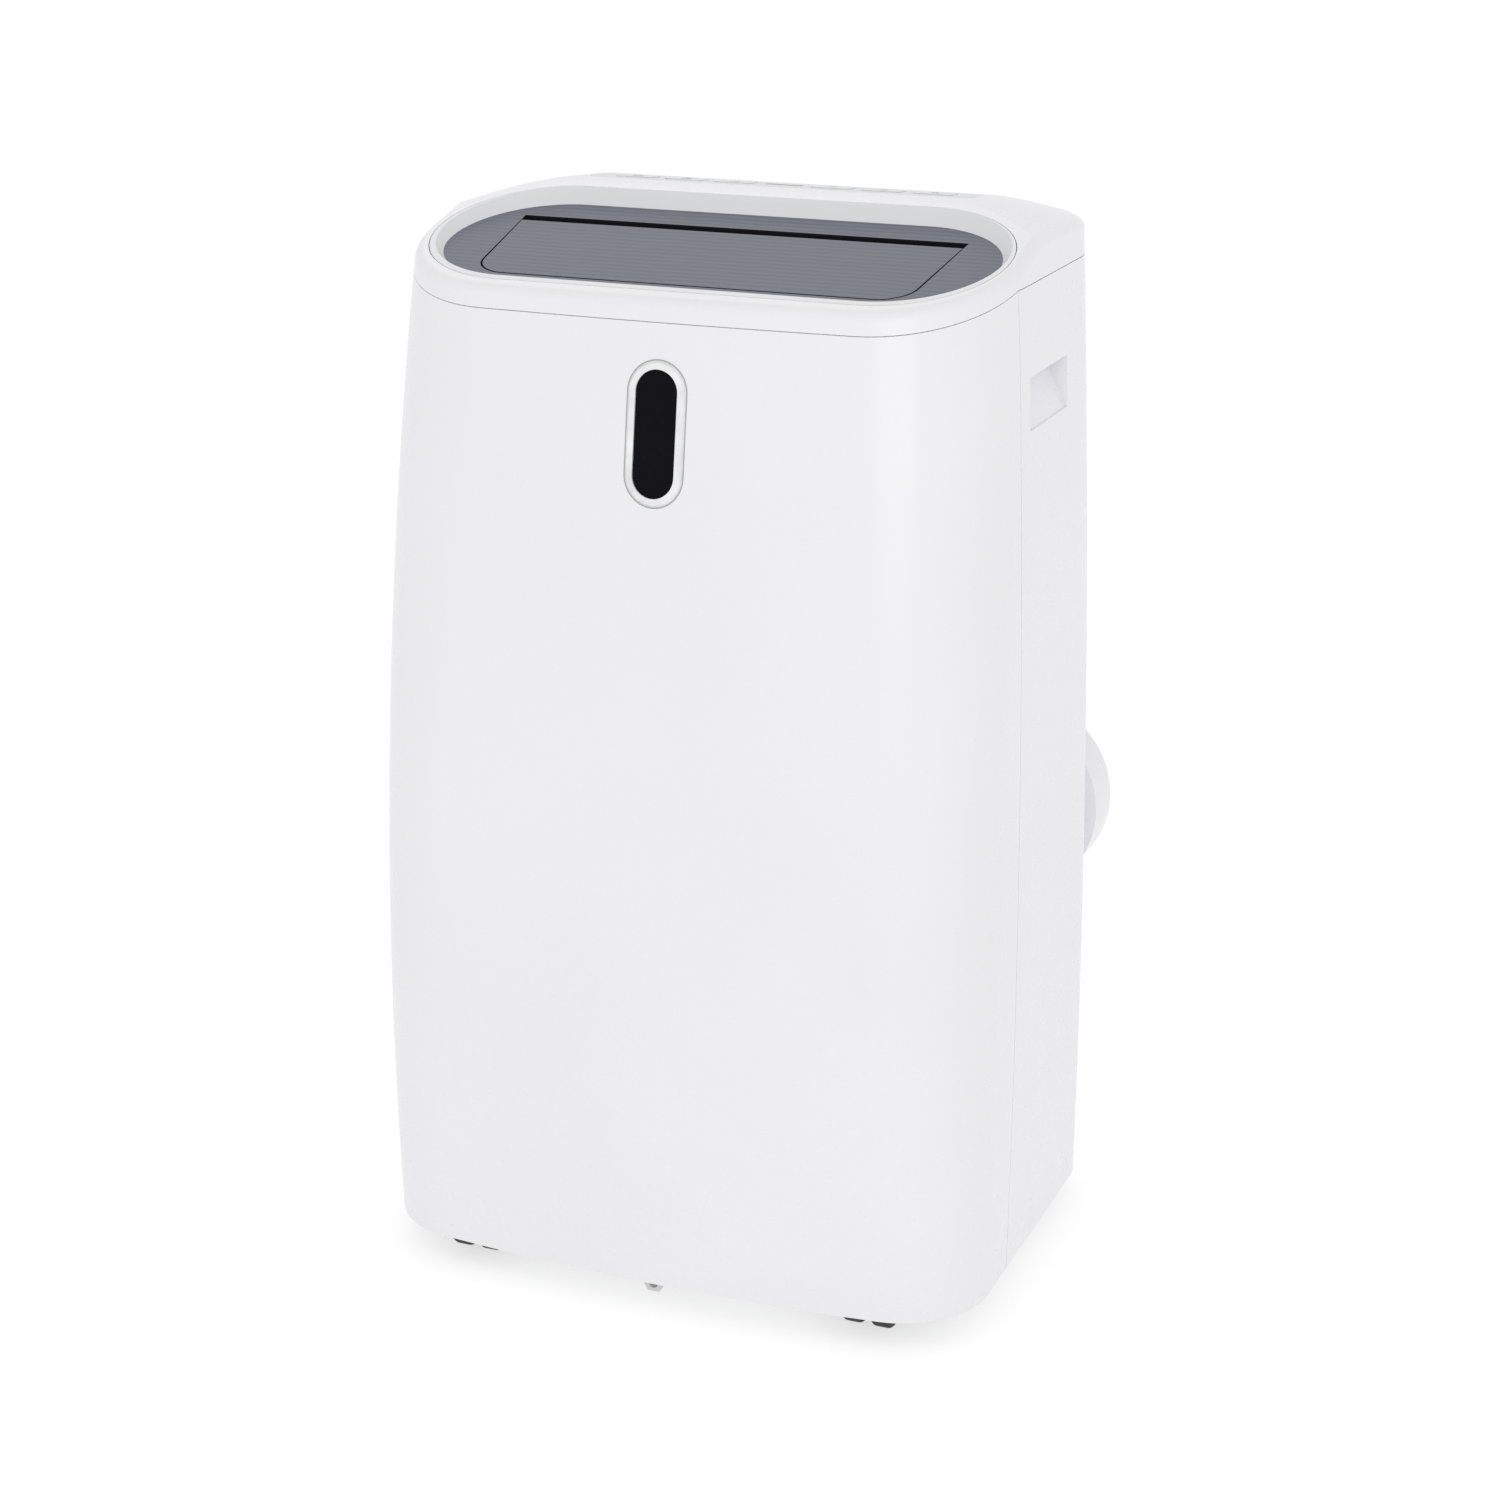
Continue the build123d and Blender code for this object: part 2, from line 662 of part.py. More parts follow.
def make_air_flap():
    """Air flap: a plate with a stiffening skirt, end cheeks and two hinge pins."""
    skirt = flap_slab(FLAP_THICK, FLAP_CORNER, FLAP_SKIRT)
    skirt -= flap_slab(2 * FLAP_THICK, FLAP_CORNER - FLAP_THICK, FLAP_SKIRT)
    flap = flap_slab(0, FLAP_CORNER, FLAP_THICK) + skirt
    for side in (-1, 1):
        inner = side * (FLAP_HALF_LENGTH - 2 * FLAP_THICK)
        cheek = sorted((inner, side * FLAP_HALF_LENGTH))
        flap += flap_pin(FLAP_BOSS_RADIUS, *cheek)
        flap += box_between(
            (cheek[0], FLAP_PIN_Y - FLAP_BOSS_RADIUS, -FLAP_PIN_DROP),
            (cheek[1], FLAP_PIN_Y + FLAP_BOSS_RADIUS, -FLAP_THICK / 2),
        )
        flap += flap_pin(FLAP_PIN_RADIUS, *sorted((inner, side * (DECK_SKIRT_FACE - FIT))))
    return on_deck(flap)


def make_flap_motor():
    """Small geared motor beside the flap's right pin, its shaft offset as such motors have."""
    axis_z = -FLAP_PIN_DROP - FLAP_MOTOR_DROP
    body = rod_x(FLAP_MOTOR_RADIUS, DECK_SKIRT_FACE, DECK_SKIRT_FACE + FLAP_MOTOR_LENGTH, FLAP_PIN_Y, axis_z)
    ears = box_between(
        (DECK_SKIRT_FACE, FLAP_PIN_Y - FLAP_MOTOR_EAR_REACH, axis_z - FLAP_MOTOR_EAR_HALF),
        (DECK_SKIRT_FACE + DECK_SKIRT_WALL, FLAP_PIN_Y + FLAP_MOTOR_RADIUS, axis_z + FLAP_MOTOR_EAR_HALF),
    )
    return on_deck(body + ears)


# Outlet throat and vanes

THROAT_TOP = -DECK_SKIRT_DEPTH
THROAT_LOW = THROAT_TOP - THROAT_DEPTH
THROAT_HALF = FLAP_HALF_LENGTH + FLAP_SIDE_GAP - THROAT_STEP
THROAT_FRONT = -FLAP_FRONT - FLAP_SIDE_GAP + THROAT_STEP
THROAT_REAR = FLAP_REAR + FLAP_REAR_GAP - THROAT_STEP
VANE_Z = THROAT_TOP - VANE_PIVOT_DROP
TIE_Z = VANE_Z - TIE_PIN_DROP
TIE_REAR = THROAT_REAR - VANE_END_GAP - TIE_NOTCH_LENGTH + TIE_SIDE_GAP


def vane_places():
    """The vanes' places along X."""
    return [VANE_PITCH * (i - (VANE_COUNT - 1) / 2) for i in range(VANE_COUNT)]


def make_outlet_throat():
    """Air throat under the deck: a rectangular tube with the vanes' pivot holes."""
    wall = THROAT_WALL
    throat = box_between(
        (-THROAT_HALF - wall, THROAT_FRONT - wall, THROAT_LOW),
        (THROAT_HALF + wall, THROAT_REAR + wall, THROAT_TOP),
    )
    throat -= box_between((-THROAT_HALF, THROAT_FRONT, THROAT_LOW), (THROAT_HALF, THROAT_REAR, THROAT_TOP))
    for x in vane_places():
        throat -= rod_y(VANE_PIN_RADIUS + RUNNING, THROAT_FRONT - wall, THROAT_REAR + wall, x, VANE_Z)
    return on_deck(throat)


def make_vane(x):
    """One upright vane: a blade on two end pins, with a crank pin for the tie bar in its rear notch."""
    front = THROAT_FRONT + VANE_END_GAP
    rear = THROAT_REAR - VANE_END_GAP
    half = VANE_THICK / 2
    low = VANE_Z - VANE_HEIGHT / 2
    blade = box_between((x - half, front, low), (x + half, rear, low + VANE_HEIGHT))
    notch_front = rear - TIE_NOTCH_LENGTH
    notch_top = TIE_Z + TIE_NOTCH_RISE
    blade -= box_between((x - half, notch_front, VANE_Z - VANE_HEIGHT), (x + half, rear, notch_top))
    vane = blade + rod_y(VANE_PIN_RADIUS, THROAT_FRONT - THROAT_WALL, front + VANE_END_GAP, x, VANE_Z)
    vane += rod_y(VANE_PIN_RADIUS, rear - VANE_END_GAP, THROAT_REAR + THROAT_WALL, x, VANE_Z)
    vane += rod_y(TIE_PIN_RADIUS, notch_front - VANE_END_GAP, TIE_REAR + TIE_THICK + TIE_SIDE_GAP, x, TIE_Z)
    return on_deck(vane)


def make_tie_bar():
    """Bar that links the vanes' crank pins, so that they turn together."""
    end = (VANE_COUNT - 1) / 2 * VANE_PITCH + TIE_HEIGHT
    low = TIE_Z - TIE_HEIGHT / 2
    bar = box_between((-end, TIE_REAR, low), (end, TIE_REAR + TIE_THICK, low + TIE_HEIGHT))
    for x in vane_places():
        bar -= rod_y(TIE_PIN_RADIUS + RUNNING, TIE_REAR, TIE_REAR + TIE_THICK, x, TIE_Z)
    return on_deck(bar)


# Display

DISPLAY_Z = HEIGHT - DISPLAY_BELOW_TOP
DISPLAY_LEAN = math.asin((DISPLAY_Z - BELLY_Z) / FRONT_RADIUS)
DISPLAY = Plane(
    origin=(0, front_y(DISPLAY_Z), DISPLAY_Z),
    x_dir=(1, 0, 0),
    z_dir=(0, -math.cos(DISPLAY_LEAN), math.sin(DISPLAY_LEAN)),
)


def pill_face(inset):
    """The display's upright pill, drawn in from the bezel's outer edge."""
    return Rot(0, 0, 90) * SlotOverall(BEZEL_HEIGHT - 2 * inset, BEZEL_WIDTH - 2 * inset)


def display_pill(inset, low, high):
    """A pill prism square to the front panel, between two heights off its surface."""
    return DISPLAY.location * extrude(Pos(0, 0, low) * pill_face(inset), amount=high - low)


def make_display_bezel():
    """Bright ring with a bevelled front lip, and a sleeve through the panel with a ledge for the lens."""
    lip = DISPLAY.location * extrude(pill_face(0), amount=BEZEL_PROUD, taper=BEZEL_TAPER)
    sleeve = display_pill(BEZEL_LIP, -BEZEL_DEPTH, 0)
    bezel = lip + sleeve - display_pill(BEZEL_BAND, LENS_SINK - LENS_THICK, BEZEL_PROUD)
    return bezel - display_pill(BEZEL_BAND + BEZEL_LIP, -BEZEL_DEPTH, BEZEL_PROUD)


def make_display_lens():
    """Dark lens that rests on the bezel's ledge."""
    return display_pill(BEZEL_BAND + FIT / 2, LENS_SINK - LENS_THICK, LENS_SINK)


def make_display_board():
    """Circuit board against the back of the bezel's sleeve."""
    face = Rectangle(BEZEL_WIDTH - 2 * BEZEL_BAND, BEZEL_HEIGHT - 2 * BEZEL_BAND)
    return DISPLAY.location * extrude(Pos(0, 0, -BEZEL_DEPTH - BOARD_THICK) * face, amount=BOARD_THICK)


# Control strip

CONTROL_Y = DECK_Y + DECK_HALF_DEPTH * math.cos(TILT) + CONTROL_BEHIND_DECK


def upright(face, x, y):
    """An upright prism through the top cover."""
    return Pos(x, y, TRAY_Z) * extrude(face, amount=HEIGHT)


def control_prism(grow):
    """The control strip's outline, grown all round."""
    face = RectangleRounded(CONTROL_LENGTH + 2 * grow, CONTROL_WIDTH + 2 * grow, CONTROL_CORNER)
    return upright(face, 0, CONTROL_Y)


def button_places():
    """Buttons in two groups, either side of the indicator window."""
    lead = (WINDOW_LENGTH + BUTTON_LENGTH) / 2 + (BUTTON_PITCH - BUTTON_LENGTH)
    right = [lead + BUTTON_PITCH * i for i in range(BUTTON_GROUP)]
    return [-x for x in reversed(right)] + right


def button_prism(x, grow):
    """A button's outline, grown all round."""
    face = RectangleRounded(BUTTON_LENGTH + 2 * grow, BUTTON_WIDTH + 2 * grow, BUTTON_CORNER)
    return upright(face, x, CONTROL_Y)


def window_prism(grow):
    """The indicator window's outline, grown all round."""
    face = RectangleRounded(WINDOW_LENGTH + 2 * grow, WINDOW_WIDTH + 2 * grow, WINDOW_WIDTH / 3)
    return upright(face, 0, CONTROL_Y)


def make_control_plate():
    """Plate let into the top cover, with holes for the buttons and the window."""
    plate = control_prism(0) & top_skin(0, CONTROL_PLATE)
    for x in button_places():
        plate -= button_prism(x, FIT)
    return plate - window_prism(FIT / 2)


def make_button(x):
    """Push button: a cap through the plate and a flange that stops it under the plate."""
    cap = button_prism(x, 0) & top_skin(BUTTON_PROUD, CONTROL_PLATE + FIT)
    flange_top = CONTROL_PLATE + FIT
    return cap + (button_prism(x, BUTTON_FLANGE) & top_skin(-flange_top, flange_top + BUTTON_FLANGE))


def make_indicator_window():
    """Dark window for the indicator lamps, held by a flange under the plate."""
    window = window_prism(0) & top_skin(0, CONTROL_PLATE)
    return window + (window_prism(BUTTON_FLANGE) & top_skin(-CONTROL_PLATE, CONTROL_PLATE + BUTTON_FLANGE))


def make_control_board():
    """Circuit board under the buttons, with a switch below each and posts up to the cover."""
    length = CONTROL_LENGTH - 2 * CONTROL_LEDGE + 2 * CONTROL_CORNER
    face = Rectangle(length, CONTROL_WIDTH - CONTROL_LEDGE)
    slab = upright(face, 0, CONTROL_Y)
    board = slab & top_skin(-CONTROL_BOARD_DROP, CONTROL_BOARD_DROP + BOARD_THICK)
    switch_top = CONTROL_PLATE + FIT + BUTTON_FLANGE + BUTTON_TRAVEL + FIT
    for x in button_places():
        switch = upright(Rectangle(BUTTON_CORNER, BUTTON_CORNER), x, CONTROL_Y)
        board += switch & top_skin(-switch_top, CONTROL_BOARD_DROP)
    for side in (-1, 1):
        post = upright(Circle(BUTTON_CORNER / 2), side * (length - BUTTON_CORNER) / 2, CONTROL_Y)
        board += post & top_skin(-TOP_SKIN, CONTROL_BOARD_DROP)
    return board


# Base pan, casters and catches

FORK_OUTER = WHEEL_RADIUS + FORK_GAP + FORK_THICK
FORK_TOP = WHEEL_RADIUS + FORK_OUTER + FORK_PLATE
WELL_CEILING = FORK_TOP + FIT
COND_COIL_Z = WELL_CEILING + PAN_FLOOR
COND_COIL_TOP = TRAY_Z - COND_COIL_UNDER_TRAY


def caster_places():
    """Swivel axes of the four casters, and the way each one points."""
    front = FRONT_Y + CASTER_FRONT_INSET
    rear = REAR_Y - CASTER_REAR_INSET
    return [(-CASTER_X, front, -1), (CASTER_X, front, -1), (-CASTER_X, rear, 1), (CASTER_X, rear, 1)]


def make_base_pan():
    """Base pan: a floor and a raised edge, with a well and a stem socket over each caster."""
    foot = outline(GROUND_CLEARANCE, WALL + FIT)
    inner = outline(GROUND_CLEARANCE, WALL + FIT + PAN_FLOOR)
    lift = Pos(0, 0, PAN_RISE)
    block = lift * extrude(foot, amount=PAN_HEIGHT)
    pan = block - Pos(0, 0, PAN_RISE + PAN_FLOOR) * extrude(inner, amount=PAN_HEIGHT)
    for x, y, way in caster_places():
        pan += rod_z(CASTER_SWEEP + PAN_FLOOR, PAN_Z, WELL_CEILING + PAN_FLOOR, x, y) & block
        pan += rod_z(2 * STEM_RADIUS, WELL_CEILING, FORK_TOP + STEM_LENGTH, x, y)
    pan += box_between(
        (COND_COIL_LEFT, COIL_Y - 2 * PAN_FLOOR, PAN_Z),
        (COND_COIL_RIGHT, COIL_Y + 2 * PAN_FLOOR, COND_COIL_Z),
    )
    for x, y, way in caster_places():
        pan -= rod_z(CASTER_SWEEP, PAN_Z, WELL_CEILING, x, y)
        pan -= rod_z(STEM_RADIUS + RUNNING, PAN_Z, FORK_TOP + STEM_LENGTH, x, y)
    for x, y in compressor_feet():
        stud_top = PAN_TOP + GROMMET_HEIGHT + COMPRESSOR_FOOT_PLATE + NUT_HEIGHT
        pan += rod_z(STUD_RADIUS, PAN_TOP, stud_top, x, y)
    pan += rod_y(SPOUT_RADIUS, REAR_INNER - FIT - PAN_FLOOR, REAR_Y + SPOUT_REACH, *PAN_SPOUT)
    return pan - rod_y(SPOUT_BORE, REAR_INNER - 4 * PAN_FLOOR, REAR_Y + SPOUT_REACH, *PAN_SPOUT)


def make_caster_fork(x, y, way):
    """Caster hood: a web between the wheels, a fender over them and a stem."""
    wheel_y = y + way * FORK_TRAIL
    half = FORK_WEB / 2 + FIT + WHEEL_WIDTH
    fender = rod_x(FORK_OUTER, x - half, x + half, wheel_y, WHEEL_RADIUS)
    hollow = rod_x(FORK_OUTER - FORK_THICK, x - half, x + half, wheel_y, WHEEL_RADIUS)
    web = rod_x(FORK_OUTER, x - FORK_WEB / 2, x + FORK_WEB / 2, wheel_y, WHEEL_RADIUS)
    upper = box_between(
        (x - half, wheel_y - FORK_OUTER, WHEEL_RADIUS), (x + half, wheel_y + FORK_OUTER, FORK_TOP)
    )
    fork = ((fender - hollow) + web) & upper
    fork += rod_x(3 * AXLE_RADIUS, x - FORK_WEB / 2, x + FORK_WEB / 2, wheel_y, WHEEL_RADIUS)
    neck = rod_z(FORK_PLATE_RADIUS, WHEEL_RADIUS, FORK_TOP, x, y)
    neck -= rod_x(FORK_OUTER - FORK_THICK, x - half, x + half, wheel_y, WHEEL_RADIUS)
    neck_low = FORK_TOP - 4 * FORK_PLATE
    fork += neck & box_between((x - half, y - REACH, neck_low), (x + half, y + REACH, FORK_TOP))
    fork += rod_z(STEM_RADIUS, FORK_TOP - FORK_PLATE, FORK_TOP + STEM_LENGTH, x, y)
    return fork - rod_x(AXLE_RADIUS + RUNNING, x - half, x + half, wheel_y, WHEEL_RADIUS)


def make_caster_wheels(x, y, way):
    """Twin wheels on one axle, with softened edges and a hub dish outside."""
    wheel_y = y + way * FORK_TRAIL
    inner = FORK_WEB / 2 + FIT
    pair = rod_x(AXLE_RADIUS, x - inner - WHEEL_EDGE, x + inner + WHEEL_EDGE, wheel_y, WHEEL_RADIUS)
    for side in (-1, 1):
        low_x, high_x = sorted((x + side * inner, x + side * (inner + WHEEL_WIDTH)))
        wheel = rod_x(WHEEL_RADIUS, low_x, high_x, wheel_y, WHEEL_RADIUS)
        rims = wheel.edges().filter_by(GeomType.CIRCLE)
        wheel = fillet(rims, WHEEL_EDGE)
        outer = inner + WHEEL_WIDTH
        dish = sorted((x + side * (outer - WHEEL_EDGE / 2), x + side * outer))
        wheel -= rod_x(WHEEL_RADIUS - 2 * WHEEL_EDGE, *dish, wheel_y, WHEEL_RADIUS)
        pair += wheel
    return pair


def make_panel_catches():
    """Catches that hang from the pan's floor and hold the panels: one in front, one at each side."""
    front = front_y(GROUND_CLEARANCE) + WALL + FIT + PAN_FLOOR
    side_x = half_width(GROUND_CLEARANCE) - WALL - FIT - PAN_FLOOR
    side_y = FRONT_Y + SIDE_CATCH_FRONT
    tab = make_face(
        Polyline(
            (-CATCH_WIDTH / 2, 0),
            (CATCH_WIDTH / 2, 0),
            (CATCH_TIP / 2, -CATCH_DROP),
            (-CATCH_TIP / 2, -CATCH_DROP),
            close=True,
        )
    )
    tab -= Pos(0, -CATCH_DROP / 2) * Circle(CATCH_SLOT / 2)
    catch = prism_y(tab, 0, CATCH_THICK)
    places = [
        Pos(0, front, PAN_Z),
        Pos(side_x, side_y, PAN_Z) * Rot(0, 0, 90),
        Pos(-side_x, side_y, PAN_Z) * Rot(0, 0, -90),
    ]
    return Compound(children=[place * catch for place in places])


# Mid tray, scrolls, fans and motors

EVAP_Z = TRAY_TOP + EVAP_ABOVE_TRAY


def deck_point(along, off):
    """Y and Z of a point given up the deck's slope and off the deck."""
    y = DECK_Y + along * math.cos(TILT) - off * math.sin(TILT)
    z = DECK_Z + along * math.sin(TILT) + off * math.cos(TILT)
    return y, z


EVAP_FRONT = deck_point(THROAT_FRONT - THROAT_WALL, THROAT_LOW)[0]
EVAP_REAR = deck_point(THROAT_REAR + THROAT_WALL, THROAT_LOW)[0]
COND_REAR = COND_FRONT + COND_DEPTH


def spiral(start, end):
    """Scroll curve of arcs: the radius grows evenly from the tongue round to the outlet side."""
    steps = 2 * SPIRAL_ARCS
    points = []
    for i in range(steps + 1):
        angle = math.radians(TONGUE_ANGLE + (360 - TONGUE_ANGLE) * i / steps)
        radius = start + (end - start) * i / steps
        points.append((radius * math.cos(angle), radius * math.sin(angle)))
    return [ThreePointArc(*points[i:i + 3]) for i in range(0, steps, 2)]


def scroll_face(start, end, flare, left, right, shoulder, top):
    """Scroll outline about the fan's axis: the spiral, then a neck that flares to the outlet."""
    tongue = math.radians(TONGUE_ANGLE)
    tongue_point = (start * math.cos(tongue), start * math.sin(tongue))
    neck = Polyline(
        (end, 0), (end, flare), (right, shoulder), (right, top), (left, top), (left, shoulder), tongue_point
    )
    return make_face(Curve() + [*spiral(start, end), neck])


def scroll_foot(x, y0, y1, low, high):
    """One upright foot under a scroll."""
    return box_between((x - SCROLL_WALL, y0, low), (x + SCROLL_WALL, y1, high))


def make_evaporator_scroll():
    """Upper scroll: volute and flared neck up to the outlet throat, with inlet bell and motor seat."""
    wall = SCROLL_WALL
    half = THROAT_HALF + THROAT_WALL
    shoulder = deck_point(THROAT_FRONT - THROAT_WALL, THROAT_LOW)[1] - EVAP_Z
    ends = (shoulder, HEIGHT - EVAP_Z)
    place = Pos(EVAP_X, EVAP_Z)
    outer = scroll_face(
        EVAP_VOLUTE_START + wall, EVAP_VOLUTE_END + wall, EVAP_FLARE, -half - EVAP_X, half - EVAP_X, *ends
    )
    inner = scroll_face(
        EVAP_VOLUTE_START, EVAP_VOLUTE_END, EVAP_FLARE, wall - half - EVAP_X, half - wall - EVAP_X, *ends
    )
    scroll = prism_y(place * outer, EVAP_FRONT, EVAP_REAR)
    for x in (EVAP_X - EVAP_FOOT_SPREAD, EVAP_X + EVAP_FOOT_SPREAD):
        scroll += scroll_foot(x, EVAP_FRONT, EVAP_REAR, TRAY_TOP, EVAP_Z - EVAP_VOLUTE_START)
    scroll -= prism_y(place * inner, EVAP_FRONT + wall, EVAP_REAR - wall)
    above = on_deck(box_between((-REACH, -REACH, THROAT_LOW), (REACH, REACH, REACH)))
    scroll -= above
    inlet = EVAP_FAN_RADIUS - FAN_BLADE_LENGTH
    scroll -= rod_y(inlet, EVAP_REAR - 2 * wall, EVAP_REAR + wall, EVAP_X, EVAP_Z)
    return scroll - rod_y(EVAP_MOTOR_RADIUS / 2, EVAP_FRONT - wall, EVAP_FRONT + 2 * wall, EVAP_X, EVAP_Z)


def make_condenser_scroll():
    """Lower scroll: the same form laid over, so that it blows to the right into the exhaust duct."""
    wall = SCROLL_WALL
    place = Pos(COND_X, COND_Z)
    swap = Plane(origin=(0, 0, 0), x_dir=(0, 1, 0), z_dir=(0, 0, -1))
    end = COND_VOLUTE_END
    tongue_z = COND_VOLUTE_START * math.cos(math.radians(TONGUE_ANGLE))
    ends = (COND_SHOULDER, DUCT_LEFT - COND_X)
    outer = scroll_face(COND_VOLUTE_START + wall, end + wall, COND_NECK / 2, tongue_z, end + wall, *ends)
    inner = scroll_face(COND_VOLUTE_START, end, COND_NECK / 2, tongue_z + wall, end, *ends)
    scroll = prism_y(place * (swap * outer), COND_FRONT, COND_REAR)
    foot_rear = COND_FRONT + COND_FOOT_DEPTH
    for x in (COND_X - COND_FOOT_SPREAD, COND_X + COND_FOOT_SPREAD):
        scroll += scroll_foot(x, COND_FRONT, foot_rear, PAN_TOP, COND_Z - COND_VOLUTE_START)
    scroll -= prism_y(place * (swap * inner), COND_FRONT + wall, COND_REAR - wall)
    inlet = COND_FAN_RADIUS - FAN_BLADE_LENGTH
    scroll -= rod_y(inlet, COND_REAR - 2 * wall, COND_REAR + wall, COND_X, COND_Z)
    return scroll - rod_y(COND_MOTOR_RADIUS / 2, COND_FRONT - wall, COND_FRONT + 2 * wall, COND_X, COND_Z)


def make_fan(radius, y0, y1, x, z):
    """Centrifugal wheel: back plate, hub, tilted blades and an inlet ring."""
    plane = Plane(origin=(x, y1, z), x_dir=(1, 0, 0), z_dir=(0, -1, 0))
    middle = radius - FAN_BLADE_LENGTH / 2
    blade = Rot(0, 0, FAN_BLADE_ANGLE) * Rectangle(FAN_BLADE_LENGTH, FAN_BLADE_THICK)
    places = PolarLocations(middle, FAN_BLADES)
    fan = rod_y(radius, y0, y0 + FAN_PLATE, x, z)
    fan += rod_y(FAN_HUB_RADIUS, y0, y0 + FAN_HUB_LENGTH, x, z)
    ring = rod_y(radius, y1 - FAN_PLATE, y1, x, z) - rod_y(radius - FAN_RING_WIDTH, y1 - FAN_PLATE, y1, x, z)
    fan = fan + [extrude(plane * (place * blade), amount=y1 - y0) for place in places] + ring
    return fan - rod_y(SHAFT_RADIUS + RUNNING, y0, y0 + FAN_HUB_LENGTH, x, z)


def make_motor(radius, y0, y1, shaft_end, x, z):
    """Fan motor: a ribbed drum on a mounting flange, with its shaft towards the fan."""
    motor = rod_y(radius - MOTOR_END_STEP, y0, y1, x, z)
    drum = rod_y(radius, y0 + FAN_PLATE, y1 - 2 * FAN_PLATE, x, z)
    motor += fillet(drum.edges().filter_by(GeomType.CIRCLE), FAN_PLATE)
    motor += rod_y(radius + MOTOR_FLANGE, y1 - FAN_PLATE, y1, x, z)
    return motor + rod_y(SHAFT_RADIUS, y1, shaft_end, x, z)


def make_mid_tray():
    """Tray between the two halves: it carries the upper coil and scroll, and drains to the rear."""
    foot = outline(TRAY_Z, WALL + TRAY_INSET)
    inner = outline(TRAY_Z, WALL + TRAY_INSET + TRAY_FLOOR)
    tray = extrude(foot, amount=TRAY_FLOOR + TRAY_RIM)
    tray -= Pos(0, 0, TRAY_FLOOR) * extrude(inner, amount=TRAY_RIM)
    tray += rod_y(SPOUT_RADIUS, REAR_INNER - TRAY_INSET - TRAY_FLOOR, REAR_Y + SPOUT_REACH, *TRAY_SPOUT)
    tray -= rod_y(SPOUT_BORE, REAR_INNER - 4 * TRAY_FLOOR, REAR_Y + SPOUT_REACH, *TRAY_SPOUT)
    return tray - rod_z(PIPE_RADIUS + 4 * FIT, TRAY_Z, TRAY_TOP, SUCTION_X, SUCTION_Y)


# Coils

COIL_Y1 = REAR_Y - COIL_BEHIND_GAP
COIL_Y0 = COIL_Y1 - COIL_DEPTH
COIL_Y = (COIL_Y0 + COIL_Y1) / 2


def make_coil(left, right, low, high):
    """Finned coil: a fin block between two tube plates, with return bends at both ends."""
    margin = COIL_PLATE_MARGIN
    coil = box_between((left + COIL_PLATE, COIL_Y0, low + margin), (right - COIL_PLATE, COIL_Y1, high))
    for x in (left, right - COIL_PLATE):
        coil += box_between((x, COIL_Y0 - margin, low), (x + COIL_PLATE, COIL_Y1 + margin, high))
    pitch = (high - low) / (COIL_ROWS + 1)
    bend = Circle(COIL_TUBE)
    for i in range(COIL_ROWS):
        z = low + pitch * (i + 1)
        for x, turn in ((left, 180), (right, 0)):
            loop = revolve(Plane.XZ * Pos(COIL_DEPTH / 4, 0) * bend, Axis.Z, 180)
            coil += Pos(x, COIL_Y, z) * Rot(0, 0, turn - 90) * loop
    return coil


# Rear windows

UPPER_WINDOW_HALF = WIDTH / 2 - UPPER_WINDOW_SIDE_INSET
UPPER_WINDOW_Z = TRAY_Z + UPPER_WINDOW_ABOVE_TRAY
UPPER_WINDOW = (-UPPER_WINDOW_HALF, UPPER_WINDOW_HALF, UPPER_WINDOW_Z, UPPER_WINDOW_Z + UPPER_WINDOW_HEIGHT)
LOWER_WINDOW_LEFT = LOWER_WINDOW_SIDE_INSET - WIDTH / 2
LOWER_WINDOW = (LOWER_WINDOW_LEFT, LOWER_WINDOW_RIGHT, LOWER_WINDOW_Z, TRAY_Z - LOWER_WINDOW_UNDER_TRAY)


def window_slab(window, grow, y0, y1):
    """A slab over a rear window, grown all round."""
    left, right, low, high = window
    return box_between((left - grow, y0, low - grow), (right + grow, y1, high + grow))


def window_box(*window):
    """Wall and ledge that the housing puts behind a rear window."""
    return window_slab(window, WINDOW_WALL, REAR_Y - FRAME_DEPTH - WINDOW_WALL, REAR_INNER + WALL / 2)


def window_cut(*window):
    """The window itself: a pocket for the frame and a smaller opening inside its ledge."""
    pocket = window_slab(window, 0, REAR_Y - FRAME_DEPTH, REAR_Y + WALL)
    return pocket + window_slab(window, -FRAME_LEDGE, REAR_Y - 3 * FRAME_DEPTH, REAR_Y)


def make_grille(window, pull):
    """Slatted frame that sits flush in a rear window; the upper one has a finger pull."""
    left, right, low, high = window
    y0 = REAR_Y - FRAME_DEPTH
    frame = window_slab(window, -FRAME_GAP, y0, REAR_Y)
    frame -= window_slab(window, -FRAME_BAND, y0, REAR_Y)
    span = high - low - 2 * FRAME_BAND
    count = int(span / SLAT_PITCH)
    pitch = span / count
    for i in range(1, count):
        z = low + FRAME_BAND + pitch * i
        frame += box_between(
            (left + FRAME_BAND / 2, REAR_Y - SLAT_DEPTH, z - SLAT_THICK / 2),
            (right - FRAME_BAND / 2, REAR_Y, z + SLAT_THICK / 2),
        )
    if pull:
        middle = (left + right) / 2
        tab_z = high - FRAME_BAND - PULL_HEIGHT
        tab = box_between(
            (middle - PULL_LENGTH / 2, y0, tab_z),
            (middle + PULL_LENGTH / 2, REAR_Y, high - FRAME_BAND / 2),
        )
        scoop = box_between(
            (middle - PULL_LENGTH / 2 + WALL, y0 + WALL, tab_z + WALL),
            (middle + PULL_LENGTH / 2 - WALL, REAR_Y, high - FRAME_BAND),
        )
        frame = frame + tab - scoop
    return frame


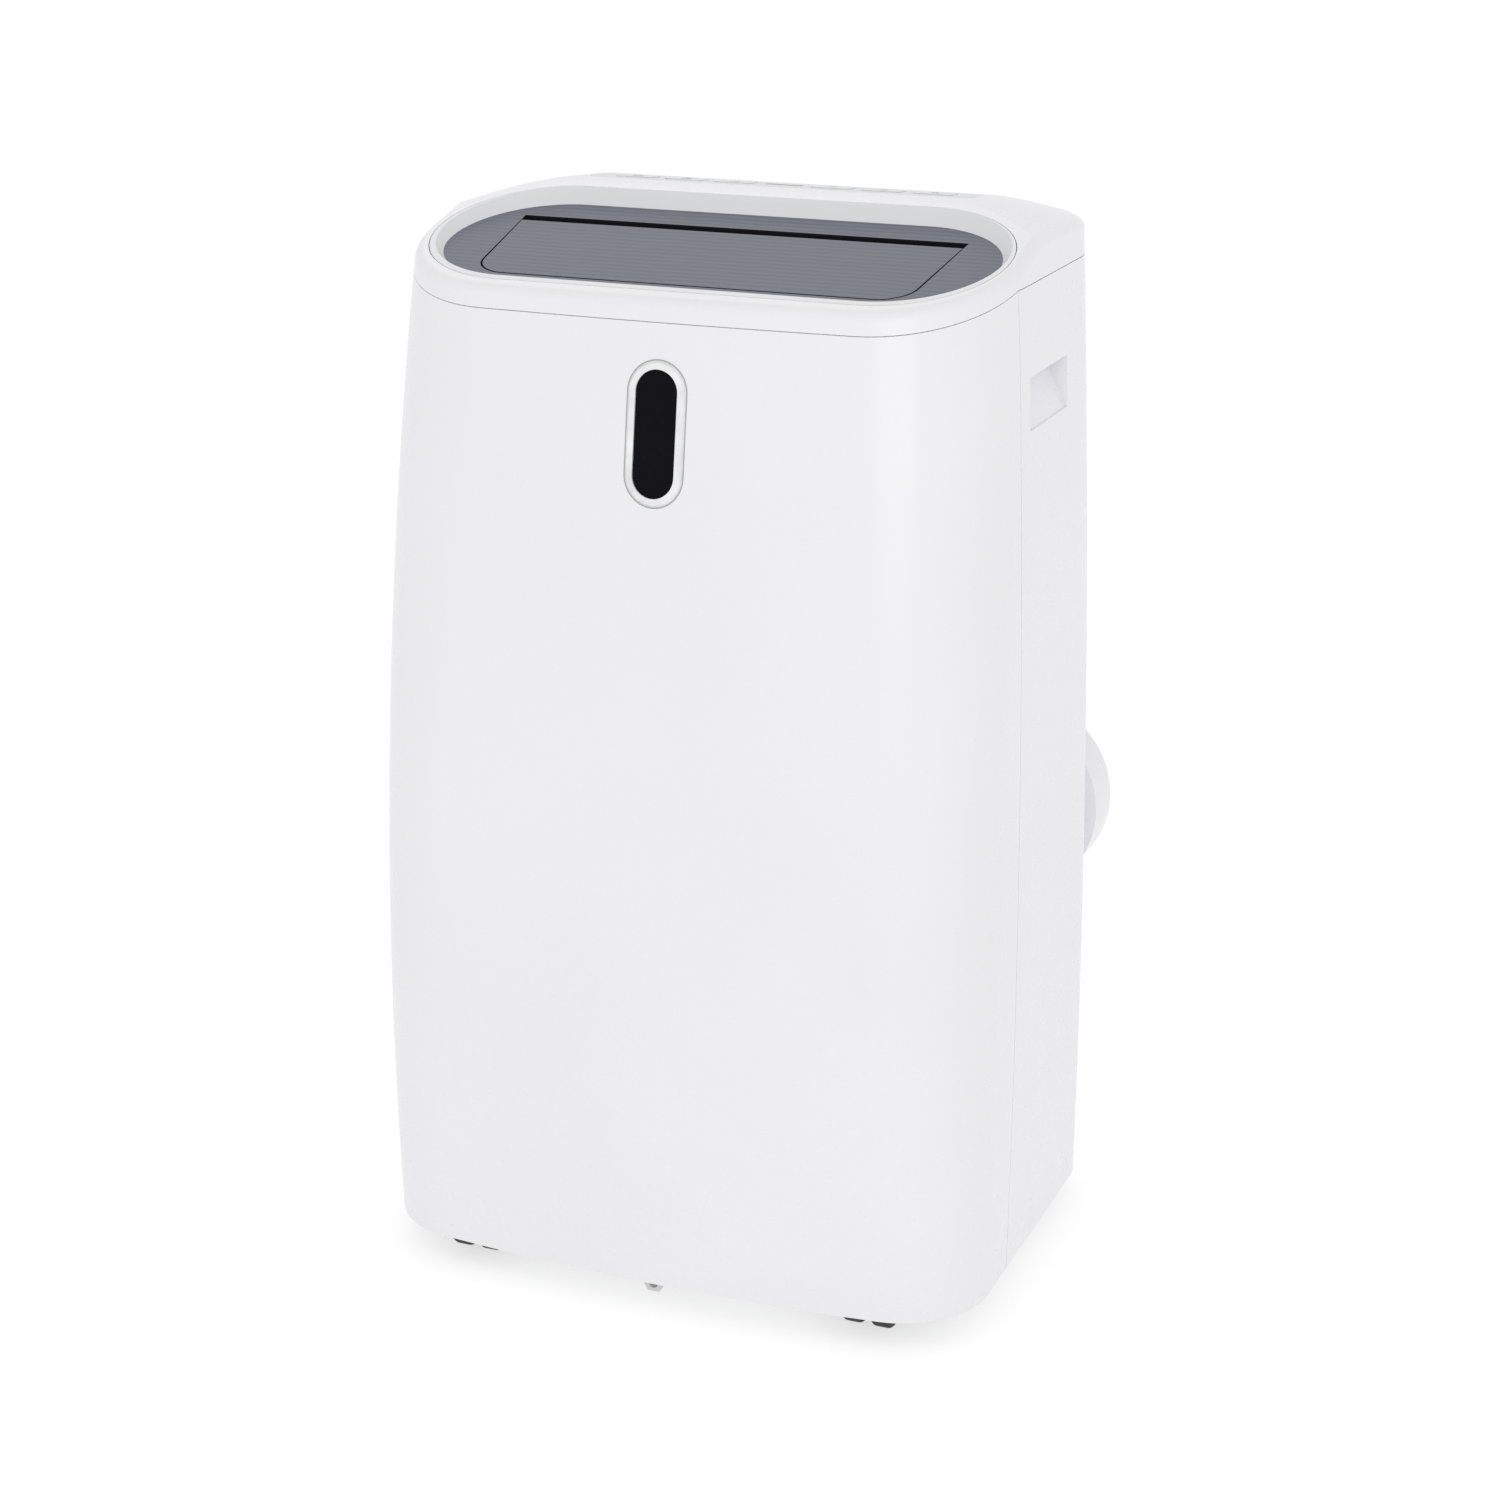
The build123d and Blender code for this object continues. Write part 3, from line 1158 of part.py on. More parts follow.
def make_filter_mesh(window):
    """Filter net behind the slats: a thin sheet of square gaps."""
    left, right, low, high = window
    inset = FRAME_LEDGE + FRAME_GAP
    y1 = REAR_Y - FRAME_DEPTH
    y0 = y1 - MESH_THICK
    sheet = box_between((left + inset, y0, low + inset), (right - inset, y1, high - inset))
    wide = (right - left - 2 * inset - MESH_RIB) / MESH_COLUMNS
    tall = (high - low - 2 * inset - MESH_RIB) / MESH_ROWS
    gap = Rectangle(wide - MESH_RIB, tall - MESH_RIB)
    middle = Pos((left + right) / 2, (low + high) / 2)
    places = GridLocations(wide, tall, MESH_COLUMNS, MESH_ROWS)
    return sheet - [prism_y(middle * place * gap, y0, y1) for place in places]


# Exhaust

def exhaust_face(inset):
    """The exhaust frame's rounded outline, drawn in."""
    return Pos(EXHAUST_X, EXHAUST_FRAME_Z) * RectangleRounded(
        EXHAUST_FRAME_WIDTH - 2 * inset, EXHAUST_FRAME_HEIGHT - 2 * inset, EXHAUST_CORNER - inset / 2
    )


def exhaust_hole():
    """Opening in the rear wall behind the exhaust frame, right through the rounded corner."""
    return prism_y(exhaust_face(EXHAUST_BAND), REAR_Y - EXHAUST_WRAP, REAR_Y + WALL)


def make_exhaust_frame():
    """Frame that the hose collar fastens to, shaped to the rear wall and its rounded corner."""
    y0 = REAR_Y - EXHAUST_WRAP
    y1 = REAR_Y + EXHAUST_FRAME_REACH
    frame = prism_y(exhaust_face(0), y0, y1)
    frame -= cabinet(-CONTACT, GROUND_CLEARANCE, HEIGHT, SECTION_COUNT)
    return frame - prism_y(exhaust_face(EXHAUST_BAND), y0, y1)


def make_hose_collar():
    """Round collar that the exhaust hose slides over: a base flange and a plain spigot."""
    y0 = REAR_Y + EXHAUST_FRAME_REACH
    y1 = REAR_Y + COLLAR_REACH
    collar = rod_y(COLLAR_RADIUS, y0, y1, EXHAUST_X, COLLAR_Z)
    rim = collar.edges().filter_by(GeomType.CIRCLE).sort_by(Axis.Y)[-1]
    collar = chamfer(rim, COLLAR_EDGE)
    collar -= rod_y(COLLAR_RADIUS - COLLAR_WALL, y0 + COLLAR_FLANGE, y1, EXHAUST_X, COLLAR_Z)
    mouth = rod_y(COLLAR_RADIUS - COLLAR_WALL - COLLAR_FLANGE, y0, y1, EXHAUST_X, COLLAR_Z)
    return collar - (prism_y(exhaust_face(EXHAUST_BAND), y0, y1) & mouth)


def make_exhaust_duct():
    """Box duct from the lower scroll to the exhaust frame's opening."""
    wall = DUCT_WALL
    low = (DUCT_LEFT, COND_FRONT, DUCT_LOW)
    high = (DUCT_RIGHT, REAR_INNER, TRAY_Z)
    room = cabinet(WALL + CONTACT, GROUND_CLEARANCE, HEIGHT, SECTION_COUNT)
    hollow = cabinet(WALL + CONTACT + wall, GROUND_CLEARANCE, HEIGHT, SECTION_COUNT)
    duct = box_between(low, high) & room
    duct -= box_between([v + wall for v in low], [v - wall for v in high]) & hollow
    duct -= prism_y(exhaust_face(EXHAUST_BAND), REAR_Y - EXHAUST_WRAP, REAR_Y)
    tongue_z = COND_Z + COND_VOLUTE_START * math.cos(math.radians(TONGUE_ANGLE)) + wall
    return duct - box_between(
        (DUCT_LEFT, COND_FRONT + wall, tongue_z),
        (DUCT_LEFT + wall, COND_REAR - wall, COND_Z + COND_VOLUTE_END),
    )


# Compressor, pipes and electrics

def compressor_feet():
    """The three feet, clear of the caster wells."""
    return [
        (
            COMPRESSOR_X + COMPRESSOR_FOOT_PCD * math.cos(math.radians(a)),
            COMPRESSOR_Y + COMPRESSOR_FOOT_PCD * math.sin(math.radians(a)),
        )
        for a in COMPRESSOR_FOOT_ANGLES
    ]


COMPRESSOR_BASE = PAN_TOP + GROMMET_HEIGHT
COMPRESSOR_TOP = COMPRESSOR_BASE + COMPRESSOR_FOOT_PLATE + COMPRESSOR_HEIGHT
ACCUMULATOR_X = COMPRESSOR_X - COMPRESSOR_RADIUS - ACCUMULATOR_GAP - ACCUMULATOR_RADIUS
ACCUMULATOR_TOP = COMPRESSOR_TOP - COMPRESSOR_DOME
SUCTION_Z = TRAY_TOP + 1.5 * EVAP_COIL_HEIGHT / (COIL_ROWS + 1)


def make_compressor():
    """Hermetic compressor: domed can on a three-lobed foot plate, with its accumulator beside it."""
    can_low = COMPRESSOR_BASE + COMPRESSOR_FOOT_PLATE
    can = rod_z(COMPRESSOR_RADIUS, can_low, COMPRESSOR_TOP, COMPRESSOR_X, COMPRESSOR_Y)
    can = fillet(can.edges().filter_by(GeomType.CIRCLE).sort_by(Axis.Z)[-1], COMPRESSOR_DOME)
    rounds = [Pos(x, y) * Circle(COMPRESSOR_FOOT_RADIUS) for x, y in compressor_feet()]
    lobes = make_hull([edge for circle in rounds for edge in circle.edges()])
    plate = Pos(0, 0, COMPRESSOR_BASE) * extrude(lobes, amount=COMPRESSOR_FOOT_PLATE)
    for x, y in compressor_feet():
        plate -= rod_z(STUD_RADIUS + FIT, COMPRESSOR_BASE, can_low, x, y)
    tank_low = ACCUMULATOR_TOP - ACCUMULATOR_HEIGHT
    tank = rod_z(ACCUMULATOR_RADIUS, tank_low, ACCUMULATOR_TOP, ACCUMULATOR_X, COMPRESSOR_Y)
    tank = fillet(tank.edges().filter_by(GeomType.CIRCLE), ACCUMULATOR_RADIUS / 2)
    strap_z = ACCUMULATOR_TOP - ACCUMULATOR_HEIGHT / 2
    strap = box_between(
        (ACCUMULATOR_X, COMPRESSOR_Y - ACCUMULATOR_RADIUS / 2, strap_z - ACCUMULATOR_GAP),
        (COMPRESSOR_X, COMPRESSOR_Y + ACCUMULATOR_RADIUS / 2, strap_z + ACCUMULATOR_GAP),
    )
    return can + plate + tank + strap


def make_grommets():
    """Rubber grommets under the compressor's feet."""
    rings = []
    for x, y in compressor_feet():
        ring = rod_z(GROMMET_RADIUS, PAN_TOP, COMPRESSOR_BASE, x, y)
        rings.append(ring - rod_z(STUD_RADIUS + FIT, PAN_TOP, COMPRESSOR_BASE, x, y))
    return Compound(children=rings)


def compressor_nuts():
    """Hexagon nuts on the compressor's studs."""
    nuts = []
    low = COMPRESSOR_BASE + COMPRESSOR_FOOT_PLATE
    for x, y in compressor_feet():
        nut = Pos(x, y, low) * extrude(RegularPolygon(NUT_RADIUS, 6), amount=NUT_HEIGHT)
        nuts.append(nut - rod_z(STUD_RADIUS + RUNNING, low, low + NUT_HEIGHT, x, y))
    return nuts


def pipe(points):
    """A copper pipe along straight runs joined by round bends."""
    path = FilletPolyline(*points, radius=PIPE_BEND)
    start = Plane(origin=path @ 0, z_dir=path % 0)
    return sweep(start * Circle(PIPE_RADIUS), path=path)


def make_discharge_pipe():
    """From the compressor's top over the lower scroll to the condenser coil's left end."""
    over = TRAY_Z - PIPE_UNDER_TRAY
    coil_z = COND_COIL_Z + (COND_COIL_TOP - COND_COIL_Z) * (COIL_ROWS - 0.5) / (COIL_ROWS + 1)
    left = COND_COIL_LEFT - PIPE_SIDE_REACH
    return pipe(
        [
            (COMPRESSOR_X, COMPRESSOR_Y, COMPRESSOR_TOP),
            (COMPRESSOR_X, COMPRESSOR_Y, over),
            (left, COMPRESSOR_Y, over),
            (left, COIL_Y, over),
            (left, COIL_Y, coil_z),
            (COND_COIL_LEFT, COIL_Y, coil_z),
        ]
    )


def make_suction_pipe():
    """From the evaporator coil's right end, down in front of the exhaust duct, to the accumulator."""
    over = COMPRESSOR_TOP + PIPE_BEND / 2
    return pipe(
        [
            (EVAP_COIL_HALF, COIL_Y, SUCTION_Z),
            (SUCTION_X, COIL_Y, SUCTION_Z),
            (SUCTION_X, SUCTION_Y, SUCTION_Z),
            (SUCTION_X, SUCTION_Y, over),
            (ACCUMULATOR_X, SUCTION_Y, over),
            (ACCUMULATOR_X, COMPRESSOR_Y, over),
            (ACCUMULATOR_X, COMPRESSOR_Y, ACCUMULATOR_TOP),
        ]
    )


def make_control_box():
    """Closed electrics box on the mid tray, with a stepped lid."""
    x1 = WIDTH / 2 - CONTROL_BOX_SIDE_INSET
    x0 = x1 - CONTROL_BOX_WIDTH
    y0, y1 = CONTROL_BOX_FRONT, CONTROL_BOX_REAR
    lid_z = TRAY_TOP + CONTROL_BOX_HEIGHT - CONTROL_BOX_LID
    box = box_between((x0, y0, TRAY_TOP), (x1, y1, lid_z))
    lid = box_between((x0 - WALL, y0 - WALL, lid_z), (x1 + WALL, y1 + WALL, lid_z + CONTROL_BOX_LID))
    return fillet((box + lid).edges().filter_by(Axis.Z), WALL / 2)


# Small rear fittings

def make_drain_plug(x, z):
    """Rubber plug in a drain spout."""
    face = REAR_Y + SPOUT_REACH
    plug = rod_y(PLUG_HEAD, face, face + PLUG_HEAD_LENGTH, x, z)
    plug = fillet(plug.edges().filter_by(GeomType.CIRCLE).sort_by(Axis.Y)[-1], PLUG_HEAD_LENGTH / 3)
    return plug + rod_y(SPOUT_BORE - RUNNING, face - PLUG_STEM_LENGTH, face, x, z)


def make_cord_inlet():
    """Bush in the rear wall where the mains lead enters."""
    bush = rod_y(CORD_BUSH, REAR_INNER - WALL, REAR_Y, CORD_X, CORD_Z)
    bush += rod_y(CORD_FLANGE, REAR_Y, REAR_Y + CORD_FLANGE_LENGTH, CORD_X, CORD_Z)
    return bush - rod_y(CORD_BORE, REAR_INNER - WALL, REAR_Y + CORD_FLANGE_LENGTH, CORD_X, CORD_Z)


def screw_places():
    """Screws down both edges of the rear wall."""
    x = WIDTH / 2 - SCREW_SIDE_INSET
    heights = (SCREW_LOW_Z, TRAY_Z + SCREW_ABOVE_TRAY, HEIGHT - SCREW_BELOW_TOP)
    return [(side * x, z) for side in (-1, 1) for z in heights]


def make_fasteners():
    """Pan-head screws through the rear wall, and the compressor's nuts."""
    screws = []
    for x, z in screw_places():
        head = rod_y(SCREW_HEAD, REAR_Y, REAR_Y + SCREW_HEAD_LENGTH, x, z)
        head = fillet(head.edges().filter_by(GeomType.CIRCLE).sort_by(Axis.Y)[-1], SCREW_HEAD_LENGTH / 2)
        screws.append(head + rod_y(SCREW_SHANK, REAR_Y - SCREW_LENGTH, REAR_Y, x, z))
    return Compound(children=screws + compressor_nuts())


def build():
    """Every node of the assembly by name."""
    nodes = {
        "front_panel": make_front_panel(),
        "rear_housing": make_rear_housing(),
        "top_cover": make_top_cover(),
        "recess_ring": make_recess_ring(),
        "outlet_deck": make_outlet_deck(),
        "air_flap": make_air_flap(),
        "flap_motor": make_flap_motor(),
        "outlet_throat": make_outlet_throat(),
        "vane_tie_bar": make_tie_bar(),
        "display_bezel": make_display_bezel(),
        "display_lens": make_display_lens(),
        "display_board": make_display_board(),
        "control_plate": make_control_plate(),
        "indicator_window": make_indicator_window(),
        "control_board": make_control_board(),
        "base_pan": make_base_pan(),
        "panel_catches": make_panel_catches(),
        "mid_tray": make_mid_tray(),
        "evaporator_scroll": make_evaporator_scroll(),
        "condenser_scroll": make_condenser_scroll(),
        "evaporator_coil": make_coil(-EVAP_COIL_HALF, EVAP_COIL_HALF, TRAY_TOP, TRAY_TOP + EVAP_COIL_HEIGHT),
        "condenser_coil": make_coil(
            COND_COIL_LEFT, COND_COIL_RIGHT, COND_COIL_Z, COND_COIL_TOP
        ),
        "filter_frame": make_grille(UPPER_WINDOW, True),
        "filter_mesh": make_filter_mesh(UPPER_WINDOW),
        "lower_grille": make_grille(LOWER_WINDOW, False),
        "exhaust_frame": make_exhaust_frame(),
        "hose_collar": make_hose_collar(),
        "exhaust_duct": make_exhaust_duct(),
        "compressor": make_compressor(),
        "compressor_grommets": make_grommets(),
        "discharge_pipe": make_discharge_pipe(),
        "suction_pipe": make_suction_pipe(),
        "control_box": make_control_box(),
        "pan_drain_plug": make_drain_plug(*PAN_SPOUT),
        "tray_drain_plug": make_drain_plug(*TRAY_SPOUT),
        "cord_inlet": make_cord_inlet(),
        "fasteners": make_fasteners(),
    }
    evap = (EVAP_X, EVAP_Z)
    cond = (COND_X, COND_Z)
    fan_lead = SCROLL_WALL + FAN_END_GAP
    shaft_lead = fan_lead + FAN_HUB_LENGTH
    nodes["evaporator_fan"] = make_fan(EVAP_FAN_RADIUS, EVAP_FRONT + fan_lead, EVAP_REAR - fan_lead, *evap)
    nodes["condenser_fan"] = make_fan(COND_FAN_RADIUS, COND_FRONT + fan_lead, COND_REAR - fan_lead, *cond)
    nodes["evaporator_motor"] = make_motor(
        EVAP_MOTOR_RADIUS, EVAP_FRONT - EVAP_MOTOR_LENGTH, EVAP_FRONT, EVAP_FRONT + shaft_lead, *evap
    )
    nodes["condenser_motor"] = make_motor(
        COND_MOTOR_RADIUS, COND_FRONT - COND_MOTOR_LENGTH, COND_FRONT, COND_FRONT + shaft_lead, *cond
    )
    for i, x in enumerate(vane_places(), 1):
        nodes[f"vane_{i}"] = make_vane(x)
    for i, x in enumerate(button_places(), 1):
        nodes[f"button_{i}"] = make_button(x)
    for i, place in enumerate(caster_places(), 1):
        nodes[f"caster_fork_{i}"] = make_caster_fork(*place)
        nodes[f"caster_wheels_{i}"] = make_caster_wheels(*place)
    return nodes


os.makedirs("parts", exist_ok=True)
for name, shape in build().items():
    export_step(shape, f"parts/{name}.step")
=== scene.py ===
import json
import math

import bpy
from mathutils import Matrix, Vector
from mathutils.bvhtree import BVHTree


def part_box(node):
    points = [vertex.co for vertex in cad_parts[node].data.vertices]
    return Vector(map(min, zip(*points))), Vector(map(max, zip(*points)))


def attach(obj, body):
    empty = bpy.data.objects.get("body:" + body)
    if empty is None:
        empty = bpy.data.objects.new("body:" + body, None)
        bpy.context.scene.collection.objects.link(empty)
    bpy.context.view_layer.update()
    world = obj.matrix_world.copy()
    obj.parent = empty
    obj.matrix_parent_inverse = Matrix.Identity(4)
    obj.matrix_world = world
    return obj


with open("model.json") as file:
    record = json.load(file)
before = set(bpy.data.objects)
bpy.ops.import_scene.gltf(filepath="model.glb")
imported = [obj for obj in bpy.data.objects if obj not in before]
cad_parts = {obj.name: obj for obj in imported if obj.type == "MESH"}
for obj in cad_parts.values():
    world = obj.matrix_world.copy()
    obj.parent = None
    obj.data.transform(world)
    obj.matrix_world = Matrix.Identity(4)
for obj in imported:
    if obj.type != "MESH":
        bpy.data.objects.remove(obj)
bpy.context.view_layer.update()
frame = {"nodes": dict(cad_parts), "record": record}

# Portable air conditioner: finishes, small details, camera and light. Metres, +Z up, front towards -Y.

# Camera, fitted to the photograph's frame
FRAME_PIXELS = 1500.0
FOCAL_PIXELS = 3072.0
SENSOR_WIDTH = 36.0
CAMERA_PLACE = (0.803, -1.973, 1.081)
CAMERA_AZIMUTH = 22.15
CAMERA_ELEVATION = 18.66

# Stage
FLOOR_HALF = 14.0
FLOOR_SHADE = 0.43
FLOOR_GLOW = 0.55
FLOOR_GLOW_SEEN = 0.66
WORLD_STRENGTH = 0.82
KEY_PLACE = (1.1, -2.7, 1.2)
KEY_TARGET = (0, 0, 0.4)
KEY_SIZE = 1.6
KEY_POWER = 11.5
RIM_PLACE = (-1.2, 1.9, 2.4)
RIM_TARGET = (0, 0, 0.6)
RIM_SIZE = 1.4
RIM_POWER = 3.0

# The outlet deck's forward slope, and the direction that its face looks in
DECK_TILT = math.radians(12.2)
DECK_NORMAL = (0, -math.sin(DECK_TILT), math.cos(DECK_TILT))

# Pitches of the patterns in the materials
DECK_LINE_PITCH = 0.0062
FIN_PITCH = 0.0018
CIRCUIT_PITCH = 0.004

# Radians that a wave texture turns through in one metre, at a scale of 1
WAVE_TURN = 20.0

# The range that a noise texture mostly keeps to
NOISE_LOW = 0.3
NOISE_HIGH = 0.7

# Sockets of the mix node, whose names repeat for each kind of value
NUMBER_FIRST, NUMBER_SECOND, NUMBER_RESULT = 2, 3, 0
COLOR_FIRST, COLOR_SECOND, COLOR_RESULT = 6, 7, 2

# Small details, with how far each stands proud of what carries it
SYMBOL_LINE = 0.0009
SYMBOL_RADIUS = 0.0032
SYMBOL_PROUD = 0.00008
# The ring round the display bezel is painted shade of the gap between bezel and front panel.
GAP_SHADE_WIDTH = 0.0009
GAP_SHADE_OFFSET = 0.0005
GAP_SHADE_PROUD = 0.0001
GAP_SHADE_STEPS = 20
NET_PITCH = 0.003
NET_STRAND = 0.0004
NET_BORDER = 0.0006
SCREW_SIDE = 0.14
SCREW_HEIGHTS = (0.0665, 0.398, 0.706)
# The screw slots are drawn as dark strokes: painted shade of the recessed slots.
SCREW_SLOT = 0.0048
SCREW_SLOT_WIDTH = 0.001
SCREW_SLOT_PROUD = 0.00004
SEAT_DEPTH = 0.0002
ARC_POINTS = 28


# Node helpers

def new_material(name):
    """A node material, its tree and its main shader."""
    material = bpy.data.materials.new(name)
    material.use_nodes = True
    tree = material.node_tree
    return material, tree, tree.nodes["Principled BSDF"]


def noise(tree, scale, detail=2.0, stretch=(1, 1, 1)):
    """Noise over the object's own metres, in cells per metre, stretched along an axis by a small factor."""
    place = tree.nodes.new("ShaderNodeTexCoord")
    mapping = tree.nodes.new("ShaderNodeMapping")
    mapping.inputs["Scale"].default_value = stretch
    texture = tree.nodes.new("ShaderNodeTexNoise")
    texture.inputs["Scale"].default_value = scale
    texture.inputs["Detail"].default_value = detail
    tree.links.new(place.outputs["Object"], mapping.inputs["Vector"])
    tree.links.new(mapping.outputs["Vector"], texture.inputs["Vector"])
    return texture.outputs["Fac"]


def bands(tree, axis, pitch, distortion=0.0, drift=1.0):
    """Even bands across one axis, their pitch in metres, made wavy by a distortion that drifts slowly."""
    place = tree.nodes.new("ShaderNodeTexCoord")
    texture = tree.nodes.new("ShaderNodeTexWave")
    texture.bands_direction = axis
    texture.inputs["Scale"].default_value = 2 * math.pi / (WAVE_TURN * pitch)
    texture.inputs["Distortion"].default_value = distortion
    texture.inputs["Detail Scale"].default_value = drift
    tree.links.new(place.outputs["Object"], texture.inputs["Vector"])
    return texture.outputs["Fac"]


def ramp(tree, factor, low, high, start=0.35, end=0.65):
    """A colour that changes from low to high as the factor rises from start to end."""
    node = tree.nodes.new("ShaderNodeValToRGB")
    first, last = node.color_ramp.elements
    first.position, last.position = start, end
    first.color = (*low, 1)
    last.color = (*high, 1)
    tree.links.new(factor, node.inputs["Fac"])
    return node.outputs["Color"]


def spread(tree, factor, low, high):
    """A number that changes from low to high over a noise texture's range."""
    node = tree.nodes.new("ShaderNodeMapRange")
    node.inputs["From Min"].default_value = NOISE_LOW
    node.inputs["From Max"].default_value = NOISE_HIGH
    node.inputs["To Min"].default_value = low
    node.inputs["To Max"].default_value = high
    tree.links.new(factor, node.inputs["Value"])
    return node.outputs["Result"]


def bump(tree, shader, height, strength, distance):
    """Relief of a given depth in metres."""
    node = tree.nodes.new("ShaderNodeBump")
    node.inputs["Strength"].default_value = strength
    node.inputs["Distance"].default_value = distance
    tree.links.new(height, node.inputs["Height"])
    tree.links.new(node.outputs["Normal"], shader.inputs["Normal"])


def blend_numbers(tree, first, second, share):
    """Two factors mixed, with a fixed share of the second."""
    mix = tree.nodes.new("ShaderNodeMix")
    mix.data_type = "FLOAT"
    mix.inputs["Factor"].default_value = share
    tree.links.new(first, mix.inputs[NUMBER_FIRST])
    tree.links.new(second, mix.inputs[NUMBER_SECOND])
    return mix.outputs[NUMBER_RESULT]


def facing(tree, direction):
    """How squarely a face of the object looks along a direction, from -1 to 1."""
    place = tree.nodes.new("ShaderNodeTexCoord")
    product = tree.nodes.new("ShaderNodeVectorMath")
    product.operation = "DOT_PRODUCT"
    product.inputs[1].default_value = direction
    tree.links.new(place.outputs["Normal"], product.inputs[0])
    return product.outputs["Value"]


def tint(color, factor):
    """A colour made lighter or darker."""
    return tuple(min(1.0, c * factor) for c in color)


# Materials

def moulded(name, color, roughness, grain=0.0012, depth=0.00002, mottle=0.012):
    """Moulded plastic: slight unevenness of colour and gloss, and a fine grain."""
    material, tree, shader = new_material(name)
    cloud = noise(tree, scale=9.0, detail=3.0)
    shade = ramp(tree, cloud, tint(color, 1 - mottle), tint(color, 1 + mottle))
    tree.links.new(shade, shader.inputs["Base Color"])
    fine = noise(tree, scale=1 / grain, detail=3.0)
    gloss = spread(tree, fine, low=roughness - 0.04, high=roughness + 0.04)
    tree.links.new(gloss, shader.inputs["Roughness"])
    bump(tree, shader, fine, strength=0.5, distance=depth)
    return material


def gloss_white(name, color):
    """Polished white plastic, its colour and its gloss slightly uneven."""
    material, tree, shader = new_material(name)
    cloud = noise(tree, scale=5.0, detail=2.0)
    shade = ramp(tree, cloud, tint(color, 0.992), tint(color, 1.008))
    tree.links.new(shade, shader.inputs["Base Color"])
    patches = noise(tree, scale=90.0, detail=1.0)
    tree.links.new(spread(tree, patches, low=0.27, high=0.3), shader.inputs["Roughness"])
    return material


def lined(name, color, painted_shade_color, roughness):
    """Dark film with fine wavy lines along X on its face, and painted shade: nearly black on its edges and
    underside, for the shadowed gaps round the deck.
    """
    material, tree, shader = new_material(name)
    hair = noise(tree, scale=1400.0, detail=3.0, stretch=(0.012, 1, 1))
    waves = bands(tree, "Y", DECK_LINE_PITCH, distortion=3.0, drift=0.25)
    lines = blend_numbers(tree, waves, hair, share=0.5)
    face = ramp(tree, lines, tint(color, 0.75), tint(color, 1.25), start=0.2, end=0.8)
    # Painted shade: faces that do not look along the deck's face get the near-black colour, for the dark
    # gaps round the deck.
    side = tree.nodes.new("ShaderNodeMix")
    side.data_type = "RGBA"
    side.inputs[COLOR_FIRST].default_value = (*painted_shade_color, 1)
    on_face = ramp(tree, facing(tree, DECK_NORMAL), (0, 0, 0), (1, 1, 1), start=0.7, end=0.9)
    tree.links.new(on_face, side.inputs["Factor"])
    tree.links.new(face, side.inputs[COLOR_SECOND])
    tree.links.new(side.outputs[COLOR_RESULT], shader.inputs["Base Color"])
    gloss = spread(tree, lines, low=roughness - 0.05, high=roughness + 0.05)
    tree.links.new(gloss, shader.inputs["Roughness"])
    bump(tree, shader, lines, strength=0.3, distance=0.00005)
    shader.inputs["Specular IOR Level"].default_value = 0.2
    return material


def metal(name, color, roughness, metallic=1.0):
    """Metal or metallic paint, with a fine grain and an uneven polish."""
    material, tree, shader = new_material(name)
    cloud = noise(tree, scale=60.0, detail=4.0)
    shade = ramp(tree, cloud, tint(color, 0.9), tint(color, 1.06))
    tree.links.new(shade, shader.inputs["Base Color"])
    fine = noise(tree, scale=900.0, detail=3.0)
    gloss = spread(tree, fine, low=roughness - 0.06, high=roughness + 0.08)
    tree.links.new(gloss, shader.inputs["Roughness"])
    bump(tree, shader, fine, strength=0.3, distance=0.00002)
    shader.inputs["Metallic"].default_value = metallic
    return material


def lens(name, color):
    """Polished dark lens with a little dust."""
    material, tree, shader = new_material(name)
    dust = noise(tree, scale=350.0, detail=4.0)
    shade = ramp(tree, dust, color, tint(color, 1.6), start=0.55, end=0.9)
    tree.links.new(shade, shader.inputs["Base Color"])
    tree.links.new(spread(tree, dust, low=0.06, high=0.12), shader.inputs["Roughness"])
    shader.inputs["Specular IOR Level"].default_value = 0.06
    return material


def rubber(name, color):
    """Matt rubber with a dusty bloom."""
    material, tree, shader = new_material(name)
    cloud = noise(tree, scale=120.0, detail=4.0)
    shade = ramp(tree, cloud, color, tint(color, 2.2), start=0.4, end=0.85)
    tree.links.new(shade, shader.inputs["Base Color"])
    fine = noise(tree, scale=1600.0, detail=2.0)
    tree.links.new(spread(tree, fine, low=0.6, high=0.8), shader.inputs["Roughness"])
    bump(tree, shader, fine, strength=0.5, distance=0.00005)
    return material


def finned(name, color):
    """Coil of thin upright fins, with painted shade in the dark bands between them."""
    material, tree, shader = new_material(name)
    fins = bands(tree, "X", FIN_PITCH)
    # Painted shade: the dark phase of the bands stands for the shadowed gaps between the fins.
    shade = ramp(tree, fins, tint(color, 0.25), color, start=0.2, end=0.8)
    tree.links.new(shade, shader.inputs["Base Color"])
    shader.inputs["Roughness"].default_value = 0.42
    shader.inputs["Metallic"].default_value = 0.9
    bump(tree, shader, fins, strength=0.8, distance=0.0004)
    return material


def circuit(name, color):
    """Circuit board: solder mask over faint copper runs."""
    material, tree, shader = new_material(name)
    runs = bands(tree, "X", CIRCUIT_PITCH, distortion=3.0)
    shade = ramp(tree, runs, color, tint(color, 1.7), start=0.45, end=0.55)
    tree.links.new(shade, shader.inputs["Base Color"])
    shader.inputs["Roughness"].default_value = 0.4
    bump(tree, shader, runs, strength=0.3, distance=0.00005)
    return material


